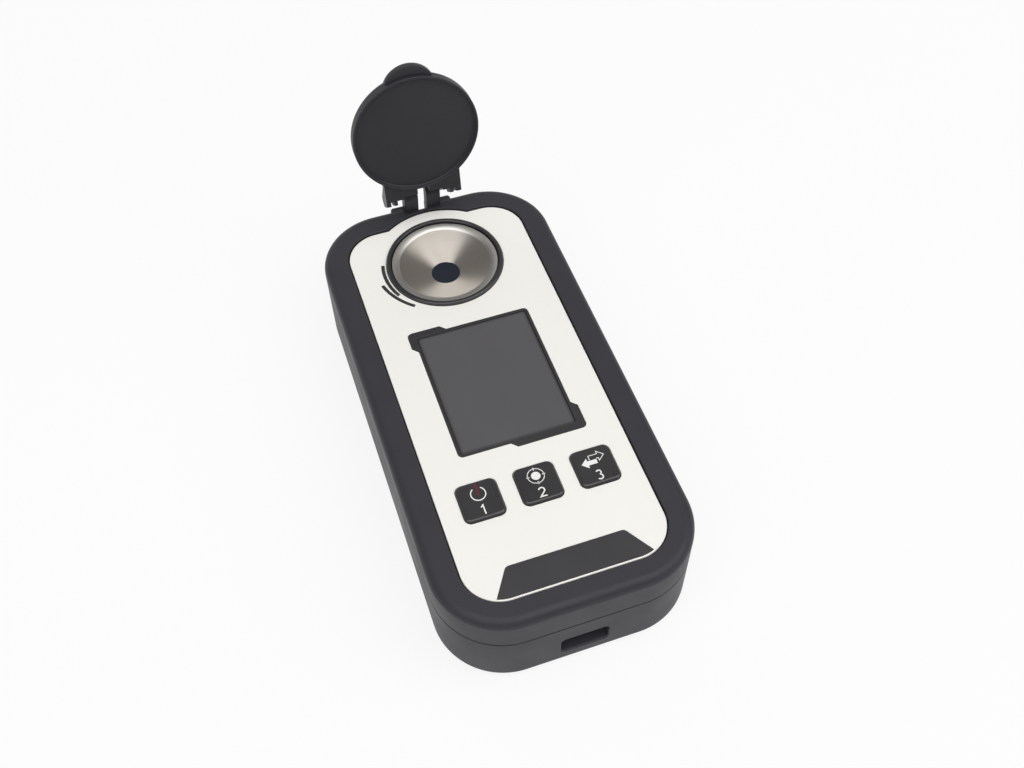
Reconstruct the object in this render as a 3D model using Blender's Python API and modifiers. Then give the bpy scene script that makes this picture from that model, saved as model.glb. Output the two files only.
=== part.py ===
"""Pocket digital refractometer with a round flip lid, built from its separate pieces.

Metres. +Z points out of the white face, +Y towards the lid hinge, and the origin is
the middle of the case's underside. The lid stands open, as it does at rest.
"""
import math

import bmesh
import bpy
from mathutils import Matrix, Vector

# Clearances between pieces, and how far a cut runs past what it cuts
GAP = 0.0003
PRINT_GAP = 0.00012
OVERRUN = 0.0008
WELD = 0.000001

# Case: two shells that meet at a parting line
CASE_WIDTH = 0.058
CASE_LENGTH = 0.120
CASE_HEIGHT = 0.025
FRONT_CORNER = 0.0160
REAR_CORNER = 0.0160
WALL = 0.0024
FLOOR = 0.0020
PARTING = 0.0160
TOP_FILLET = 0.0022
BOTTOM_FILLET = 0.0026
STEP_WIDTH = 0.0011
STEP_DEPTH = 0.0021
TONGUE_DEPTH = 0.0012
SEAL_THICKNESS = 0.0006

# White face and the shelf it lies on
FACE_SIDE_INSET = 0.0065
FACE_FRONT_INSET = 0.0059
FACE_REAR_INSET = 0.0070
FACE_CORNER = 0.0085
FACE_BULGE = 0.0180
FACE_THICKNESS = 0.0010
RIM_RISE = 0.0004
SHELF_THICKNESS = 0.0016

# Sample dish and its surround ring
DISH_INSET = 0.0217
RING_OUTER = 0.0145
RING_WIDTH = 0.0011
RING_RISE = 0.0007
DISH_MOUTH = 0.0119
DISH_DEPTH = 0.0039
DISH_WALL = 0.0008
DISH_COLLAR = 0.0009
PRISM_RADIUS = 0.0035
PRISM_HEAD = 0.0022
PRISM_BASE = 0.0022
PRISM_DEPTH = 0.0074
SEAL_WIDTH = 0.0010

# Screen
SCREEN_SIDE_INSET = 0.0084
SCREEN_TO_RING = 0.0063
SCREEN_TO_KEYS = 0.0070
SCREEN_CORNER = 0.0012
BORDER = 0.0011
BRACKET_STEP = 0.0013
BRACKET_TOP = 0.0072
BRACKET_SIDE = 0.0048
BRACKET_FOOT = 0.0170
BRACKET_RISE = 0.0072
WINDOW_THICKNESS = 0.0008
GLASS_THICKNESS = 0.0021
BACKLIGHT_EXTRA = 0.0018
STRIP_WIDTH = 0.0020

# Keys and their switches
KEY_SIDE_INSET = 0.00488
KEY_LENGTH = 0.0094
KEY_CORNER = 0.0015
KEY_SPACING = 0.00397
KEY_INSET = 0.0239
KEY_RISE = 0.0006
KEY_EDGE = 0.0004
KEY_TRAVEL = 0.0005
KEY_FLANGE = 0.0008
KEY_FLANGE_HEIGHT = 0.0011
SWITCH_SIZE = 0.0060
SWITCH_HEIGHT = 0.0020
PLUNGER_RADIUS = 0.0017
KEY_NAMES = ("power", "zero", "mode")

# Dark inlays in the face: the front panel and two curved marks by the dish
PANEL_REAR_INSET = 0.0074
PANEL_FRONT_INSET = 0.0004
PANEL_REAR_SIDE = 0.0089
PANEL_SIDE = 0.0054
PANEL_CORNER = 0.0012
INLAY_DEPTH = 0.0005
MARK_WIDTH = 0.0008
INNER_MARK_RADIUS = 0.0154
INNER_MARK_ARC = (166, 207)
OUTER_MARK_RADIUS = 0.0166
OUTER_MARK_ARC = (194, 231)
OUTER_MARK_SHIFT = (-0.0006, 0.0014)

# Main board
BOARD_SIDE_INSET = 0.0060
BOARD_FRONT_INSET = 0.0200
BOARD_TO_BLOCK = 0.0043
BOARD_HEIGHT = 0.0150
BOARD_THICKNESS = 0.0016
CHIP_SIZE = 0.0080
CHIP_HEIGHT = 0.0012
CHIP_SIDE_INSET = 0.0100
CHIP_REAR_INSET = 0.0220

# Optics under the dish
BLOCK_HALF = 0.0090
BLOCK_LENGTH = 0.0200
BLOCK_BOTTOM = 0.0080
EAR_REACH = 0.0086
EAR_LENGTH = 0.0060
EAR_THICKNESS = 0.0032
POCKET_RADIUS = 0.0041
LIGHT_HEIGHT = 0.0150
LIGHT_RADIUS = 0.0025
LED_LENGTH = 0.0060
LED_FLANGE = 0.0003
LENS_THICKNESS = 0.0018
LENS_SETBACK = 0.0042
SENSOR_SIZE = 0.0050
SENSOR_THICKNESS = 0.0010
SENSOR_BOARD_HALF = 0.0150
SENSOR_BOARD_THICKNESS = 0.0012
SENSOR_BOARD_TOP = 0.0190
THERMISTOR_RADIUS = 0.0010
THERMISTOR_X = 0.0066
THERMISTOR_HEIGHT = 0.0012
FLEX_WIDTH = 0.0026
FLEX_OVERLAP = 0.0060

# Screws
SCREW_RADIUS = 0.0010
HEAD_RADIUS = 0.0022
HEAD_HEIGHT = 0.0014
RECESS_WIDTH = 0.0005
RECESS_SPAN = 0.0026
RECESS_DEPTH = 0.0007
BOSS_RADIUS = 0.0032
SMALL_BOSS = 0.0026
CASE_SCREW_SIDE = 0.0085
CASE_SCREW_END = 0.0135
CASE_SCREW_SEAT = 0.0027
BOARD_SCREW_SIDE = 0.0037
BOARD_SCREW_END = 0.0045
BOARD_SCREW_RUN = 0.0205
OPTICS_SCREW_OUT = 0.0056
TIP_CLEARANCE = 0.0010

# Battery bay: one AAA cell along the case
CELL_RADIUS = 0.00525
CELL_LENGTH = 0.0435
CELL_NUB_RADIUS = 0.0019
CELL_NUB = 0.0010
CELL_HEIGHT = 0.0073
CELL_INSET = 0.0610
BAY_HALF = 0.0060
BAY_WALL = 0.0014
BAY_TOP = 0.0124
CONTACT_THICKNESS = 0.0004
CONTACT_HALF = 0.0045
SPRING_LENGTH = 0.0030
SPRING_WIRE = 0.00030
SPRING_WIDE = 0.0036
SPRING_NARROW = 0.0024
SPRING_TURNS = 3
DOOR_HALF = 0.0095
DOOR_THICKNESS = 0.0016
DOOR_CORNER = 0.0020
DOOR_END = 0.0092
DOOR_LEDGE = 0.0018
DOOR_LIP = 0.0013
DOOR_LIP_HALF = 0.0045
DOOR_LIP_THICKNESS = 0.0007
DOOR_SCREW_INSET = 0.0038
DOOR_PAD_RADIUS = 0.0033
GASKET_THICKNESS = 0.0006
FRAME_FLOOR = 0.0034
FRAME_MARGIN = 0.0020

# Strap slot: a passage from the front wall down to the underside, round a bar
SLOT_HALF = 0.00535
SLOT_LOW = 0.0049
SLOT_HIGH = 0.0104
SLOT_BAR = 0.0028
SLOT_RUN = 0.0050
SLOT_WALL = 0.0018
SLOT_CORNER = 0.0012

# Hinge: two lugs on a rear boss, and a stub pin at each side
HINGE_INSET = 0.0015
HINGE_RISE = 0.00477
HINGE_BOSS_HALF = 0.0080
HINGE_BOSS_REACH = 0.0008
HINGE_BOSS_DEPTH = 0.0050
LUG_INNER = 0.0013
LUG_OUTER = 0.0047
LUG_EYE = 0.0017
LUG_EYE_ARC = (-10, 190)
LUG_FRONT = 0.00066
LUG_BACK = 0.0020
PIN_RADIUS = 0.0006
PIN_BLIND = 0.0007
NOTCH_DEPTH = 0.0026

# Lid
OPEN_ANGLE = 97
LID_REACH = 0.0202
LID_RADIUS = 0.01555
LID_THICKNESS = 0.0030
LID_DROP = 0.00477
LID_LIP = 0.0006
LID_LIP_DEPTH = 0.0009
LID_EDGE = 0.0008
TAB_RADIUS = 0.00645
TAB_REACH = 0.0319
TAB_THICKNESS = 0.0020
SKIRT_HALF = 0.0097
SKIRT_END = 0.0024
SKIRT_RISE = 0.0004
SKIRT_CENTRE_END = 0.0030
SKIRT_ROOT = 0.0105
RIB_END = 0.0011
RIB_EYE = 0.0015
RIB_EYE_ARC = (-40, 115)
RIB_BAND = 0.0055
OUTER_RIB = 0.0011
INNER_RIB = 0.0008
INNER_RIB_OFFSET = 0.0069
WINDOW_HALF = 0.0016
WINDOW_TOP = 0.0048

# How finely round shapes are faceted
CORNER_STEPS = 7
ROUND_STEPS = 40
ROD_STEPS = 16
SMALL_ROD_STEPS = 10
FILLET_STEPS = 3
SEAL_STEPS = 24
SMOOTH_ANGLE = 35
FLAT_ANGLE = 0.2

# Heights and places that follow from the sizes above
CASE_HALF = CASE_WIDTH / 2
CASE_END = CASE_LENGTH / 2
FACE_HALF = CASE_HALF - FACE_SIDE_INSET
FACE_FRONT = -CASE_END + FACE_FRONT_INSET
FACE_REAR = CASE_END - FACE_REAR_INSET
DISH_Y = CASE_END - DISH_INSET
HINGE_Y = CASE_END - HINGE_INSET
HINGE_Z = CASE_HEIGHT + HINGE_RISE
KEY_Y = FACE_FRONT + KEY_INSET
KEY_COUNT = len(KEY_NAMES)
KEY_WIDTH = (2 * (FACE_HALF - KEY_SIDE_INSET) - (KEY_COUNT - 1) * KEY_SPACING) / KEY_COUNT
KEY_PITCH = KEY_WIDTH + KEY_SPACING
SCREEN_REAR = DISH_Y - RING_OUTER - SCREEN_TO_RING
SCREEN_FRONT = KEY_Y + KEY_LENGTH / 2 + SCREEN_TO_KEYS
SCREEN_LENGTH = SCREEN_REAR - SCREEN_FRONT
SCREEN_WIDTH = 2 * (FACE_HALF - SCREEN_SIDE_INSET)
SCREEN_Y = (SCREEN_REAR + SCREEN_FRONT) / 2
PANEL_REAR = FACE_FRONT + PANEL_REAR_INSET
PANEL_REAR_HALF = FACE_HALF - PANEL_REAR_SIDE
PANEL_HALF = FACE_HALF - PANEL_SIDE
CASE_SCREW_X = CASE_HALF - CASE_SCREW_SIDE
CASE_SCREW_Y = CASE_END - CASE_SCREW_END
FACE_TOP = CASE_HEIGHT - RIM_RISE
FACE_UNDER = FACE_TOP - FACE_THICKNESS
SHELF_TOP = FACE_UNDER - GAP
SHELF_UNDER = SHELF_TOP - SHELF_THICKNESS
BOARD_TOP = BOARD_HEIGHT + BOARD_THICKNESS
SWITCH_BOTTOM = BOARD_TOP + GAP
SWITCH_TOP = SWITCH_BOTTOM + SWITCH_HEIGHT
PLUNGER_TOP = SWITCH_TOP + GAP + KEY_TRAVEL + GAP
KEY_BOTTOM = PLUNGER_TOP + GAP
RING_INNER = RING_OUTER - RING_WIDTH
FLANGE_RADIUS = RING_INNER - GAP
PRISM_TOP = FACE_TOP - DISH_DEPTH
COLLAR_BOTTOM = PRISM_TOP - DISH_COLLAR - DISH_WALL
DISH_THROAT = PRISM_RADIUS + GAP
BLOCK_TOP = COLLAR_BOTTOM - GAP
EAR_BOTTOM = BLOCK_TOP - EAR_THICKNESS
BLOCK_FRONT = DISH_Y - BLOCK_LENGTH / 2
BLOCK_REAR = DISH_Y + BLOCK_LENGTH / 2
BOARD_HALF = CASE_HALF - BOARD_SIDE_INSET
BOARD_FRONT = -CASE_END + BOARD_FRONT_INSET
BOARD_REAR = BLOCK_FRONT - BOARD_TO_BLOCK
CHIP_X = -BOARD_HALF + CHIP_SIDE_INSET
CHIP_Y = BOARD_REAR - CHIP_REAR_INSET
BOARD_SCREW_X = BOARD_HALF - BOARD_SCREW_SIDE
BOARD_SCREW_REAR = BOARD_REAR - BOARD_SCREW_END
BOARD_SCREW_FRONT = BOARD_FRONT + BOARD_SCREW_RUN
OPTICS_SCREW_X = BLOCK_HALF + OPTICS_SCREW_OUT
EAR_HALF = BLOCK_HALF + EAR_REACH
SENSOR_FRONT = BLOCK_REAR + GAP
SENSOR_BOARD_FRONT = SENSOR_FRONT + SENSOR_THICKNESS + GAP
CELL_REAR = -CASE_END + CELL_INSET
CELL_FRONT = CELL_REAR - CELL_NUB - CELL_LENGTH
PLUS_PLATE = CELL_REAR + GAP
BAY_REAR = PLUS_PLATE + CONTACT_THICKNESS + GAP
MINUS_PLATE = CELL_FRONT - GAP - SPRING_LENGTH - GAP
BAY_FRONT = MINUS_PLATE - CONTACT_THICKNESS - GAP
DOOR_FRONT = BAY_FRONT - DOOR_LEDGE
DOOR_REAR = BAY_REAR + DOOR_END
GASKET_BOTTOM = DOOR_THICKNESS + GAP
LEDGE_HEIGHT = GASKET_BOTTOM + GASKET_THICKNESS + GAP
DOOR_PAD_TOP = LEDGE_HEIGHT - GAP
SLOT_INNER = -CASE_END + SLOT_BAR
SLOT_REAR = SLOT_INNER + SLOT_RUN
LID_FIELD = LID_DROP - LID_LIP_DEPTH
LID_BACK = LID_DROP - LID_THICKNESS

TAU = 2 * math.pi


def collection(name):
    """Gives the scene one more collection."""
    group = bpy.data.collections.new(name)
    bpy.context.scene.collection.children.link(group)
    return group


for stale in list(bpy.data.objects):
    bpy.data.objects.remove(stale)
PARTS = collection("digital_refractometer")
GUIDES = collection("cutters")


def finish(name, colour, roughness, metallic=0.0):
    """A Principled material."""
    made = bpy.data.materials.new(name)
    made.use_nodes = True
    shader = made.node_tree.nodes["Principled BSDF"]
    shader.inputs["Base Color"].default_value = (*colour, 1.0)
    shader.inputs["Roughness"].default_value = roughness
    shader.inputs["Metallic"].default_value = metallic
    made.diffuse_color = (*colour, 1.0)
    return made


BLACK_PLASTIC = finish("black_plastic", (0.048, 0.048, 0.056), 0.55)
SATIN_BLACK = finish("satin_black", (0.020, 0.020, 0.023), 0.35)
WHITE_FACE = finish("white_face", (0.90, 0.89, 0.86), 0.35)
INK = finish("black_inlay", (0.035, 0.035, 0.040), 0.30)
CLEAR = finish("clear_window", (0.12, 0.12, 0.13), 0.08)
LCD = finish("display_glass", (0.10, 0.10, 0.105), 0.15)
DIFFUSER = finish("backlight_diffuser", (0.75, 0.78, 0.80), 0.50)
STEEL = finish("brushed_steel", (0.62, 0.58, 0.52), 0.28, 1.0)
SCREW_STEEL = finish("screw_steel", (0.50, 0.50, 0.50), 0.30, 1.0)
OPTICAL_GLASS = finish("optical_glass", (0.03, 0.04, 0.08), 0.05)
RUBBER = finish("black_rubber", (0.020, 0.020, 0.020), 0.80)
SILICONE = finish("grey_silicone", (0.30, 0.30, 0.31), 0.70)
BOARD = finish("circuit_board", (0.02, 0.12, 0.05), 0.45)
NICKEL = finish("nickel_plate", (0.66, 0.62, 0.54), 0.25, 1.0)
CHIP = finish("chip_epoxy", (0.015, 0.015, 0.017), 0.50)
AMBER = finish("led_epoxy", (0.85, 0.55, 0.12), 0.10)
CELL = finish("cell_jacket", (0.04, 0.05, 0.06), 0.35)
POLYIMIDE = finish("flex_polyimide", (0.45, 0.22, 0.03), 0.40)


def add(name, mesh, look=None, place=(0, 0, 0)):
    """Puts a mesh in the scene, as a part if it has a material and as a guide if not."""
    thing = bpy.data.objects.new(name, mesh)
    thing.location = place
    if look:
        mesh.materials.append(look)
        PARTS.objects.link(thing)
    else:
        thing.hide_render = True
        thing.display_type = "WIRE"
        GUIDES.objects.link(thing)
    return thing


def smooth(thing):
    """Shades a round piece smooth between its sharp edges."""
    thing.data.shade_smooth()
    thing.data.set_sharp_from_angle(angle=math.radians(SMOOTH_ANGLE))


def arc(cx, cy, radius, start, end, steps=CORNER_STEPS):
    """Points along an arc, its ends included, with the angles in degrees."""
    turns = [math.radians(start + (end - start) * i / steps) for i in range(steps + 1)]
    return [(cx + radius * math.cos(a), cy + radius * math.sin(a)) for a in turns]


def circle(cx, cy, radius, steps=ROUND_STEPS):
    """A full round outline."""
    return arc(cx, cy, radius, 0, 360, steps)[:-1]


def rounded(left, right, front, rear, front_radius, rear_radius=None, steps=CORNER_STEPS):
    """A rectangle with round corners, of one radius at each end."""
    back = front_radius if rear_radius is None else rear_radius
    return (arc(right - front_radius, front + front_radius, front_radius, -90, 0, steps)
            + arc(right - back, rear - back, back, 0, 90, steps)
            + arc(left + back, rear - back, back, 90, 180, steps)
            + arc(left + front_radius, front + front_radius, front_radius, 180, 270, steps))


def case_outline(inset=0.0):
    """The case in plan, drawn in by a given amount."""
    return rounded(-CASE_HALF + inset, CASE_HALF - inset, -CASE_END + inset, CASE_END - inset,
                   FRONT_CORNER - inset, REAR_CORNER - inset)


def face_outline(grow=0.0):
    """The white face: a rounded rectangle whose rear edge bulges round the dish."""
    half = FACE_HALF + grow
    bulge = FACE_BULGE + grow
    rear = FACE_REAR + grow
    shoulder = math.sqrt(bulge ** 2 - (rear - DISH_Y) ** 2)
    corner = min(FACE_CORNER + grow, half - shoulder - GAP)
    lean = math.degrees(math.asin((rear - DISH_Y) / bulge))
    return (arc(half - corner, FACE_FRONT - grow + corner, corner, -90, 0)
            + arc(half - corner, rear - corner, corner, 0, 90)
            + arc(0, DISH_Y, bulge, lean, 180 - lean)
            + arc(-half + corner, rear - corner, corner, 90, 180)
            + arc(-half + corner, FACE_FRONT - grow + corner, corner, 180, 270))


def screen_outline(grow=0.0):
    """The black screen surround: a rectangle with a bracket at two opposite corners."""
    right = SCREEN_WIDTH / 2 + grow
    left = -right
    rear = SCREEN_Y + SCREEN_LENGTH / 2 + grow
    front = SCREEN_Y - SCREEN_LENGTH / 2 - grow
    r = SCREEN_CORNER
    step = BRACKET_STEP
    bracket_x = left + BRACKET_TOP
    bracket_y = rear - BRACKET_SIDE
    foot_x = right - BRACKET_FOOT
    foot_y = front + BRACKET_RISE
    return ([(foot_x, front), (foot_x + step, front - step)]
            + arc(right + step - r, front - step + r, r, -90, 0, FILLET_STEPS)
            + [(right + step, foot_y - step), (right, foot_y)]
            + arc(right - r, rear - r, r, 0, 90, FILLET_STEPS)
            + [(bracket_x, rear), (bracket_x - step, rear + step)]
            + arc(left - step + r, rear + step - r, r, 90, 180, FILLET_STEPS)
            + [(left - step, bracket_y + step), (left, bracket_y)]
            + arc(left + r, front + r, r, 180, 270, FILLET_STEPS))


def panel_outline(grow=0.0):
    """The front panel: a trapezoid whose front corners follow the face's round corners."""
    rear = PANEL_REAR + grow
    rear_half = PANEL_REAR_HALF + grow
    reach = FACE_CORNER - PANEL_FRONT_INSET + grow
    turn_x = FACE_HALF - FACE_CORNER
    turn_end = -math.degrees(math.acos((PANEL_HALF + grow - turn_x) / reach))
    r = PANEL_CORNER
    right = (arc(turn_x, FACE_FRONT + FACE_CORNER, reach, -90, turn_end, FILLET_STEPS)
             + arc(rear_half - r, rear - r, r, 30, 90, FILLET_STEPS))
    return right + [(-x, y) for x, y in reversed(right)]


def mark_outline(radius, ends, shift=(0, 0), grow=0.0):
    """A curved mark beside the dish, its centre shifted from the middle of the dish."""
    start, end = ends
    x, y = shift[0], DISH_Y + shift[1]
    half = MARK_WIDTH / 2 + grow
    run = math.degrees(grow / radius)
    outer = arc(x, y, radius + half, start - run, end + run)
    inner = arc(x, y, radius - half, end + run, start - run)
    return outer + inner


def slab(name, loops, low, high, look=None):
    """A flat outline, with any holes, given its thickness between two heights."""
    curve = bpy.data.curves.new(name, "CURVE")
    curve.dimensions = "2D"
    curve.fill_mode = "BOTH"
    curve.extrude = (high - low) / 2
    for loop in loops:
        spline = curve.splines.new("POLY")
        spline.points.add(len(loop) - 1)
        for point, (x, y) in zip(spline.points, loop):
            point.co = (x, y, 0, 1)
        spline.use_cyclic_u = True
    return add(name, meshed(curve, (low + high) / 2), look)


def meshed(curve, height=0.0):
    """The welded mesh of a curve, raised by a height, with its flat faces in one piece."""
    guide = bpy.data.objects.new(curve.name, curve)
    bpy.context.scene.collection.objects.link(guide)
    view = bpy.context.evaluated_depsgraph_get()
    mesh = bpy.data.meshes.new_from_object(guide.evaluated_get(view))
    bpy.data.objects.remove(guide)
    bm = bmesh.new()
    bm.from_mesh(mesh)
    bmesh.ops.remove_doubles(bm, verts=bm.verts, dist=WELD)
    bmesh.ops.dissolve_limit(bm, angle_limit=math.radians(FLAT_ANGLE), verts=bm.verts, edges=bm.edges)
    bmesh.ops.recalc_face_normals(bm, faces=bm.faces)
    bmesh.ops.translate(bm, verts=bm.verts, vec=(0, 0, height))
    bm.to_mesh(mesh)
    bm.free()
    mesh.materials.clear()
    return mesh


def side_slab(name, loops, left, right, look=None):
    """A slab whose outline lies in the side view, as (y, z), and runs across in x."""
    thing = slab(name, loops, left, right, look)
    thing.data.transform(Matrix(((0, 0, 1, 0), (1, 0, 0, 0), (0, 1, 0, 0), (0, 0, 0, 1))))
    return thing


def block(name, low, high, look=None):
    """A box between two corners."""
    size = [b - a for a, b in zip(low, high)]
    middle = [(a + b) / 2 for a, b in zip(low, high)]
    mesh = bpy.data.meshes.new(name)
    bm = bmesh.new()
    bmesh.ops.create_cube(bm, size=1.0, matrix=Matrix.Translation(middle) @ Matrix.Diagonal((*size, 1)))
    bm.to_mesh(mesh)
    bm.free()
    return add(name, mesh, look)


def rod(name, radius, start, end, look=None, steps=ROD_STEPS):
    """A round bar between two points."""
    start, end = Vector(start), Vector(end)
    along = end - start
    turn = along.to_track_quat("Z", "Y").to_matrix().to_4x4()
    mesh = bpy.data.meshes.new(name)
    bm = bmesh.new()
    bmesh.ops.create_cone(bm, cap_ends=True, segments=steps, radius1=radius, radius2=radius,
                          depth=along.length, matrix=Matrix.Translation((start + end) / 2) @ turn)
    bm.to_mesh(mesh)
    bm.free()
    thing = add(name, mesh, look)
    smooth(thing)
    return thing


def turned(name, profile, look=None, place=(0, 0, 0), ring=False, steps=ROUND_STEPS):
    """A profile of (radius, height) points, run down its outer side and turned about Z."""
    mesh = bpy.data.meshes.new(name)
    edges = [(i, i + 1) for i in range(len(profile) - 1)]
    if ring:
        edges.append((len(profile) - 1, 0))
    mesh.from_pydata([(r, 0, z) for r, z in profile], edges, [])
    thing = add(name, mesh, look, place)
    screw = thing.modifiers.new("turned", "SCREW")
    screw.steps = steps
    screw.render_steps = steps
    screw.use_merge_vertices = True
    screw.merge_threshold = WELD
    screw.use_smooth_shade = True
    return thing


def round_edges(thing, height, width, segments=FILLET_STEPS):
    """Rounds the edges of a slab that lie at one height."""
    mesh = thing.data
    weights = mesh.attributes.new("bevel_weight_edge", "FLOAT", "EDGE")
    for edge in mesh.edges:
        ends = [mesh.vertices[i].co.z for i in edge.vertices]
        weights.data[edge.index].value = float(all(abs(z - height) < WELD for z in ends))
    bevel = thing.modifiers.new("rounded_edges", "BEVEL")
    bevel.limit_method = "WEIGHT"
    bevel.width = width
    bevel.segments = segments
    smooth(thing)


def combine(thing, other, operation):
    """One exact Boolean."""
    boolean = thing.modifiers.new(other.name, "BOOLEAN")
    boolean.operation = operation
    boolean.solver = "EXACT"
    boolean.object = other


def cut(thing, *others):
    """Takes guides away from a piece."""
    for other in others:
        combine(thing, other, "DIFFERENCE")


def fuse(thing, *others):
    """Joins guides to a piece."""
    for other in others:
        combine(thing, other, "UNION")


def mirrored(places):
    """Each place at both sides, with the word for its side."""
    return [(side, sign * x, y) for x, y in places for side, sign in (("left", -1), ("right", 1))]


def screw(name, x, y, head_bottom, tip):
    """A pan-head screw that points up, with a cross recess in its head."""
    seat = head_bottom + HEAD_HEIGHT
    profile = [(0, tip), (SCREW_RADIUS, tip), (SCREW_RADIUS, seat), (HEAD_RADIUS, seat),
               (HEAD_RADIUS, head_bottom), (0, head_bottom)]
    thing = turned(name, profile, SCREW_STEEL, (x, y, 0), steps=ROD_STEPS)
    low = head_bottom - OVERRUN
    high = head_bottom + RECESS_DEPTH
    long, thin = RECESS_SPAN / 2, RECESS_WIDTH / 2
    cut(thing, block(name + "_recess_a", (x - long, y - thin, low), (x + long, y + thin, high)),
        block(name + "_recess_b", (x - thin, y - long, low), (x + thin, y + long, high)))
    return thing


# Places of the screws
CASE_SCREWS = mirrored([(CASE_SCREW_X, -CASE_SCREW_Y), (CASE_SCREW_X, CASE_SCREW_Y)])
BOARD_SCREWS = mirrored([(BOARD_SCREW_X, BOARD_SCREW_FRONT), (BOARD_SCREW_X, BOARD_SCREW_REAR)])
OPTICS_SCREWS = mirrored([(OPTICS_SCREW_X, DISH_Y)])
SCREW_HOLE = SCREW_RADIUS + GAP
HEAD_HOLE = HEAD_RADIUS + GAP
BOSS_TOP = SHELF_UNDER + SHELF_THICKNESS / 2
HOLE_TOP = SHELF_UNDER - GAP
UPPER_BOTTOM = PARTING + GAP / 2
LOWER_TOP = PARTING - GAP / 2
BOARD_BOSS_BOTTOM = BOARD_TOP + GAP
OPTICS_BOSS_BOTTOM = BLOCK_TOP + GAP


def row_name(x, y):
    """Front or rear, left or right."""
    return ("front_" if y < 0 else "rear_") + ("left" if x < 0 else "right")


def lug_outline():
    """The side view of a hinge lug, from the case top up round the hinge axis."""
    foot = SHELF_TOP
    start, end = LUG_EYE_ARC
    eye = arc(HINGE_Y, HINGE_Z, LUG_EYE, start, end)
    return [(HINGE_Y - LUG_FRONT, foot), (HINGE_Y + LUG_BACK, foot)] + eye


# Upper case
upper = slab("upper_case", [case_outline()], UPPER_BOTTOM, CASE_HEIGHT, BLACK_PLASTIC)
round_edges(upper, CASE_HEIGHT, TOP_FILLET)
tongue_inset = STEP_WIDTH + GAP
fuse(upper,
     slab("tongue", [case_outline(tongue_inset)], LOWER_TOP - TONGUE_DEPTH, PARTING + WALL),
     slab("hinge_boss", [rounded(-HINGE_BOSS_HALF, HINGE_BOSS_HALF, CASE_END - WALL,
                                 CASE_END + HINGE_BOSS_REACH, HINGE_BOSS_REACH / 2)],
          CASE_HEIGHT - HINGE_BOSS_DEPTH, CASE_HEIGHT - RIM_RISE / 2))
for side, sign in (("left", -1), ("right", 1)):
    reach = sorted((sign * LUG_INNER, sign * LUG_OUTER))
    fuse(upper, side_slab("lug_" + side, [lug_outline()], *reach))
cut(upper,
    slab("upper_cavity", [case_outline(WALL)], LOWER_TOP - TONGUE_DEPTH - OVERRUN, SHELF_UNDER),
    slab("face_pocket", [face_outline(GAP)], SHELF_TOP, CASE_HEIGHT + OVERRUN),
    block("hinge_notch", (-LUG_INNER, CASE_END - NOTCH_DEPTH, SHELF_UNDER),
          (LUG_INNER, CASE_END + HINGE_BOSS_REACH + OVERRUN, CASE_HEIGHT + OVERRUN)))
for side, x, y in CASE_SCREWS:
    fuse(upper, rod("upper_boss", BOSS_RADIUS, (x, y, UPPER_BOTTOM), (x, y, BOSS_TOP)))
for side, x, y in BOARD_SCREWS:
    fuse(upper, rod("board_boss", SMALL_BOSS, (x, y, BOARD_BOSS_BOTTOM), (x, y, BOSS_TOP)))
for side, x, y in OPTICS_SCREWS:
    fuse(upper, rod("optics_boss", SMALL_BOSS, (x, y, OPTICS_BOSS_BOTTOM), (x, y, BOSS_TOP)))
for side, x, y in CASE_SCREWS + BOARD_SCREWS + OPTICS_SCREWS:
    cut(upper, rod("upper_hole", SCREW_HOLE, (x, y, LOWER_TOP - OVERRUN), (x, y, HOLE_TOP),
                   steps=SMALL_ROD_STEPS))
opening_half = SCREEN_WIDTH / 2 - BORDER + GAP
opening_end = SCREEN_LENGTH / 2 - BORDER + GAP
cut(upper,
    slab("screen_opening", [rounded(-opening_half, opening_half, SCREEN_Y - opening_end,
                                    SCREEN_Y + opening_end, SCREEN_CORNER, steps=FILLET_STEPS)],
         SHELF_UNDER - OVERRUN, SHELF_TOP + OVERRUN),
    rod("dish_opening", DISH_MOUTH, (0, DISH_Y, SHELF_UNDER - OVERRUN),
        (0, DISH_Y, SHELF_TOP + OVERRUN), steps=ROUND_STEPS))


def key_outline(x, grow=0.0):
    """A key in plan, grown by a margin."""
    half, end = KEY_WIDTH / 2 + grow, KEY_LENGTH / 2 + grow
    return rounded(x - half, x + half, KEY_Y - end, KEY_Y + end, KEY_CORNER + grow / 2, steps=FILLET_STEPS)


KEY_PLACES = [(name, (i - (len(KEY_NAMES) - 1) / 2) * KEY_PITCH) for i, name in enumerate(KEY_NAMES)]
for name, x in KEY_PLACES:
    cut(upper, slab(name + "_key_hole", [key_outline(x, GAP)], SHELF_UNDER - OVERRUN, SHELF_TOP + OVERRUN))
for side, sign in (("left", -1), ("right", 1)):
    cut(upper, rod("lug_bore_" + side, PIN_RADIUS + GAP,
                   (sign * (LUG_INNER + PIN_BLIND), HINGE_Y, HINGE_Z),
                   (sign * (LUG_OUTER + OVERRUN), HINGE_Y, HINGE_Z), steps=SMALL_ROD_STEPS))

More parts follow.
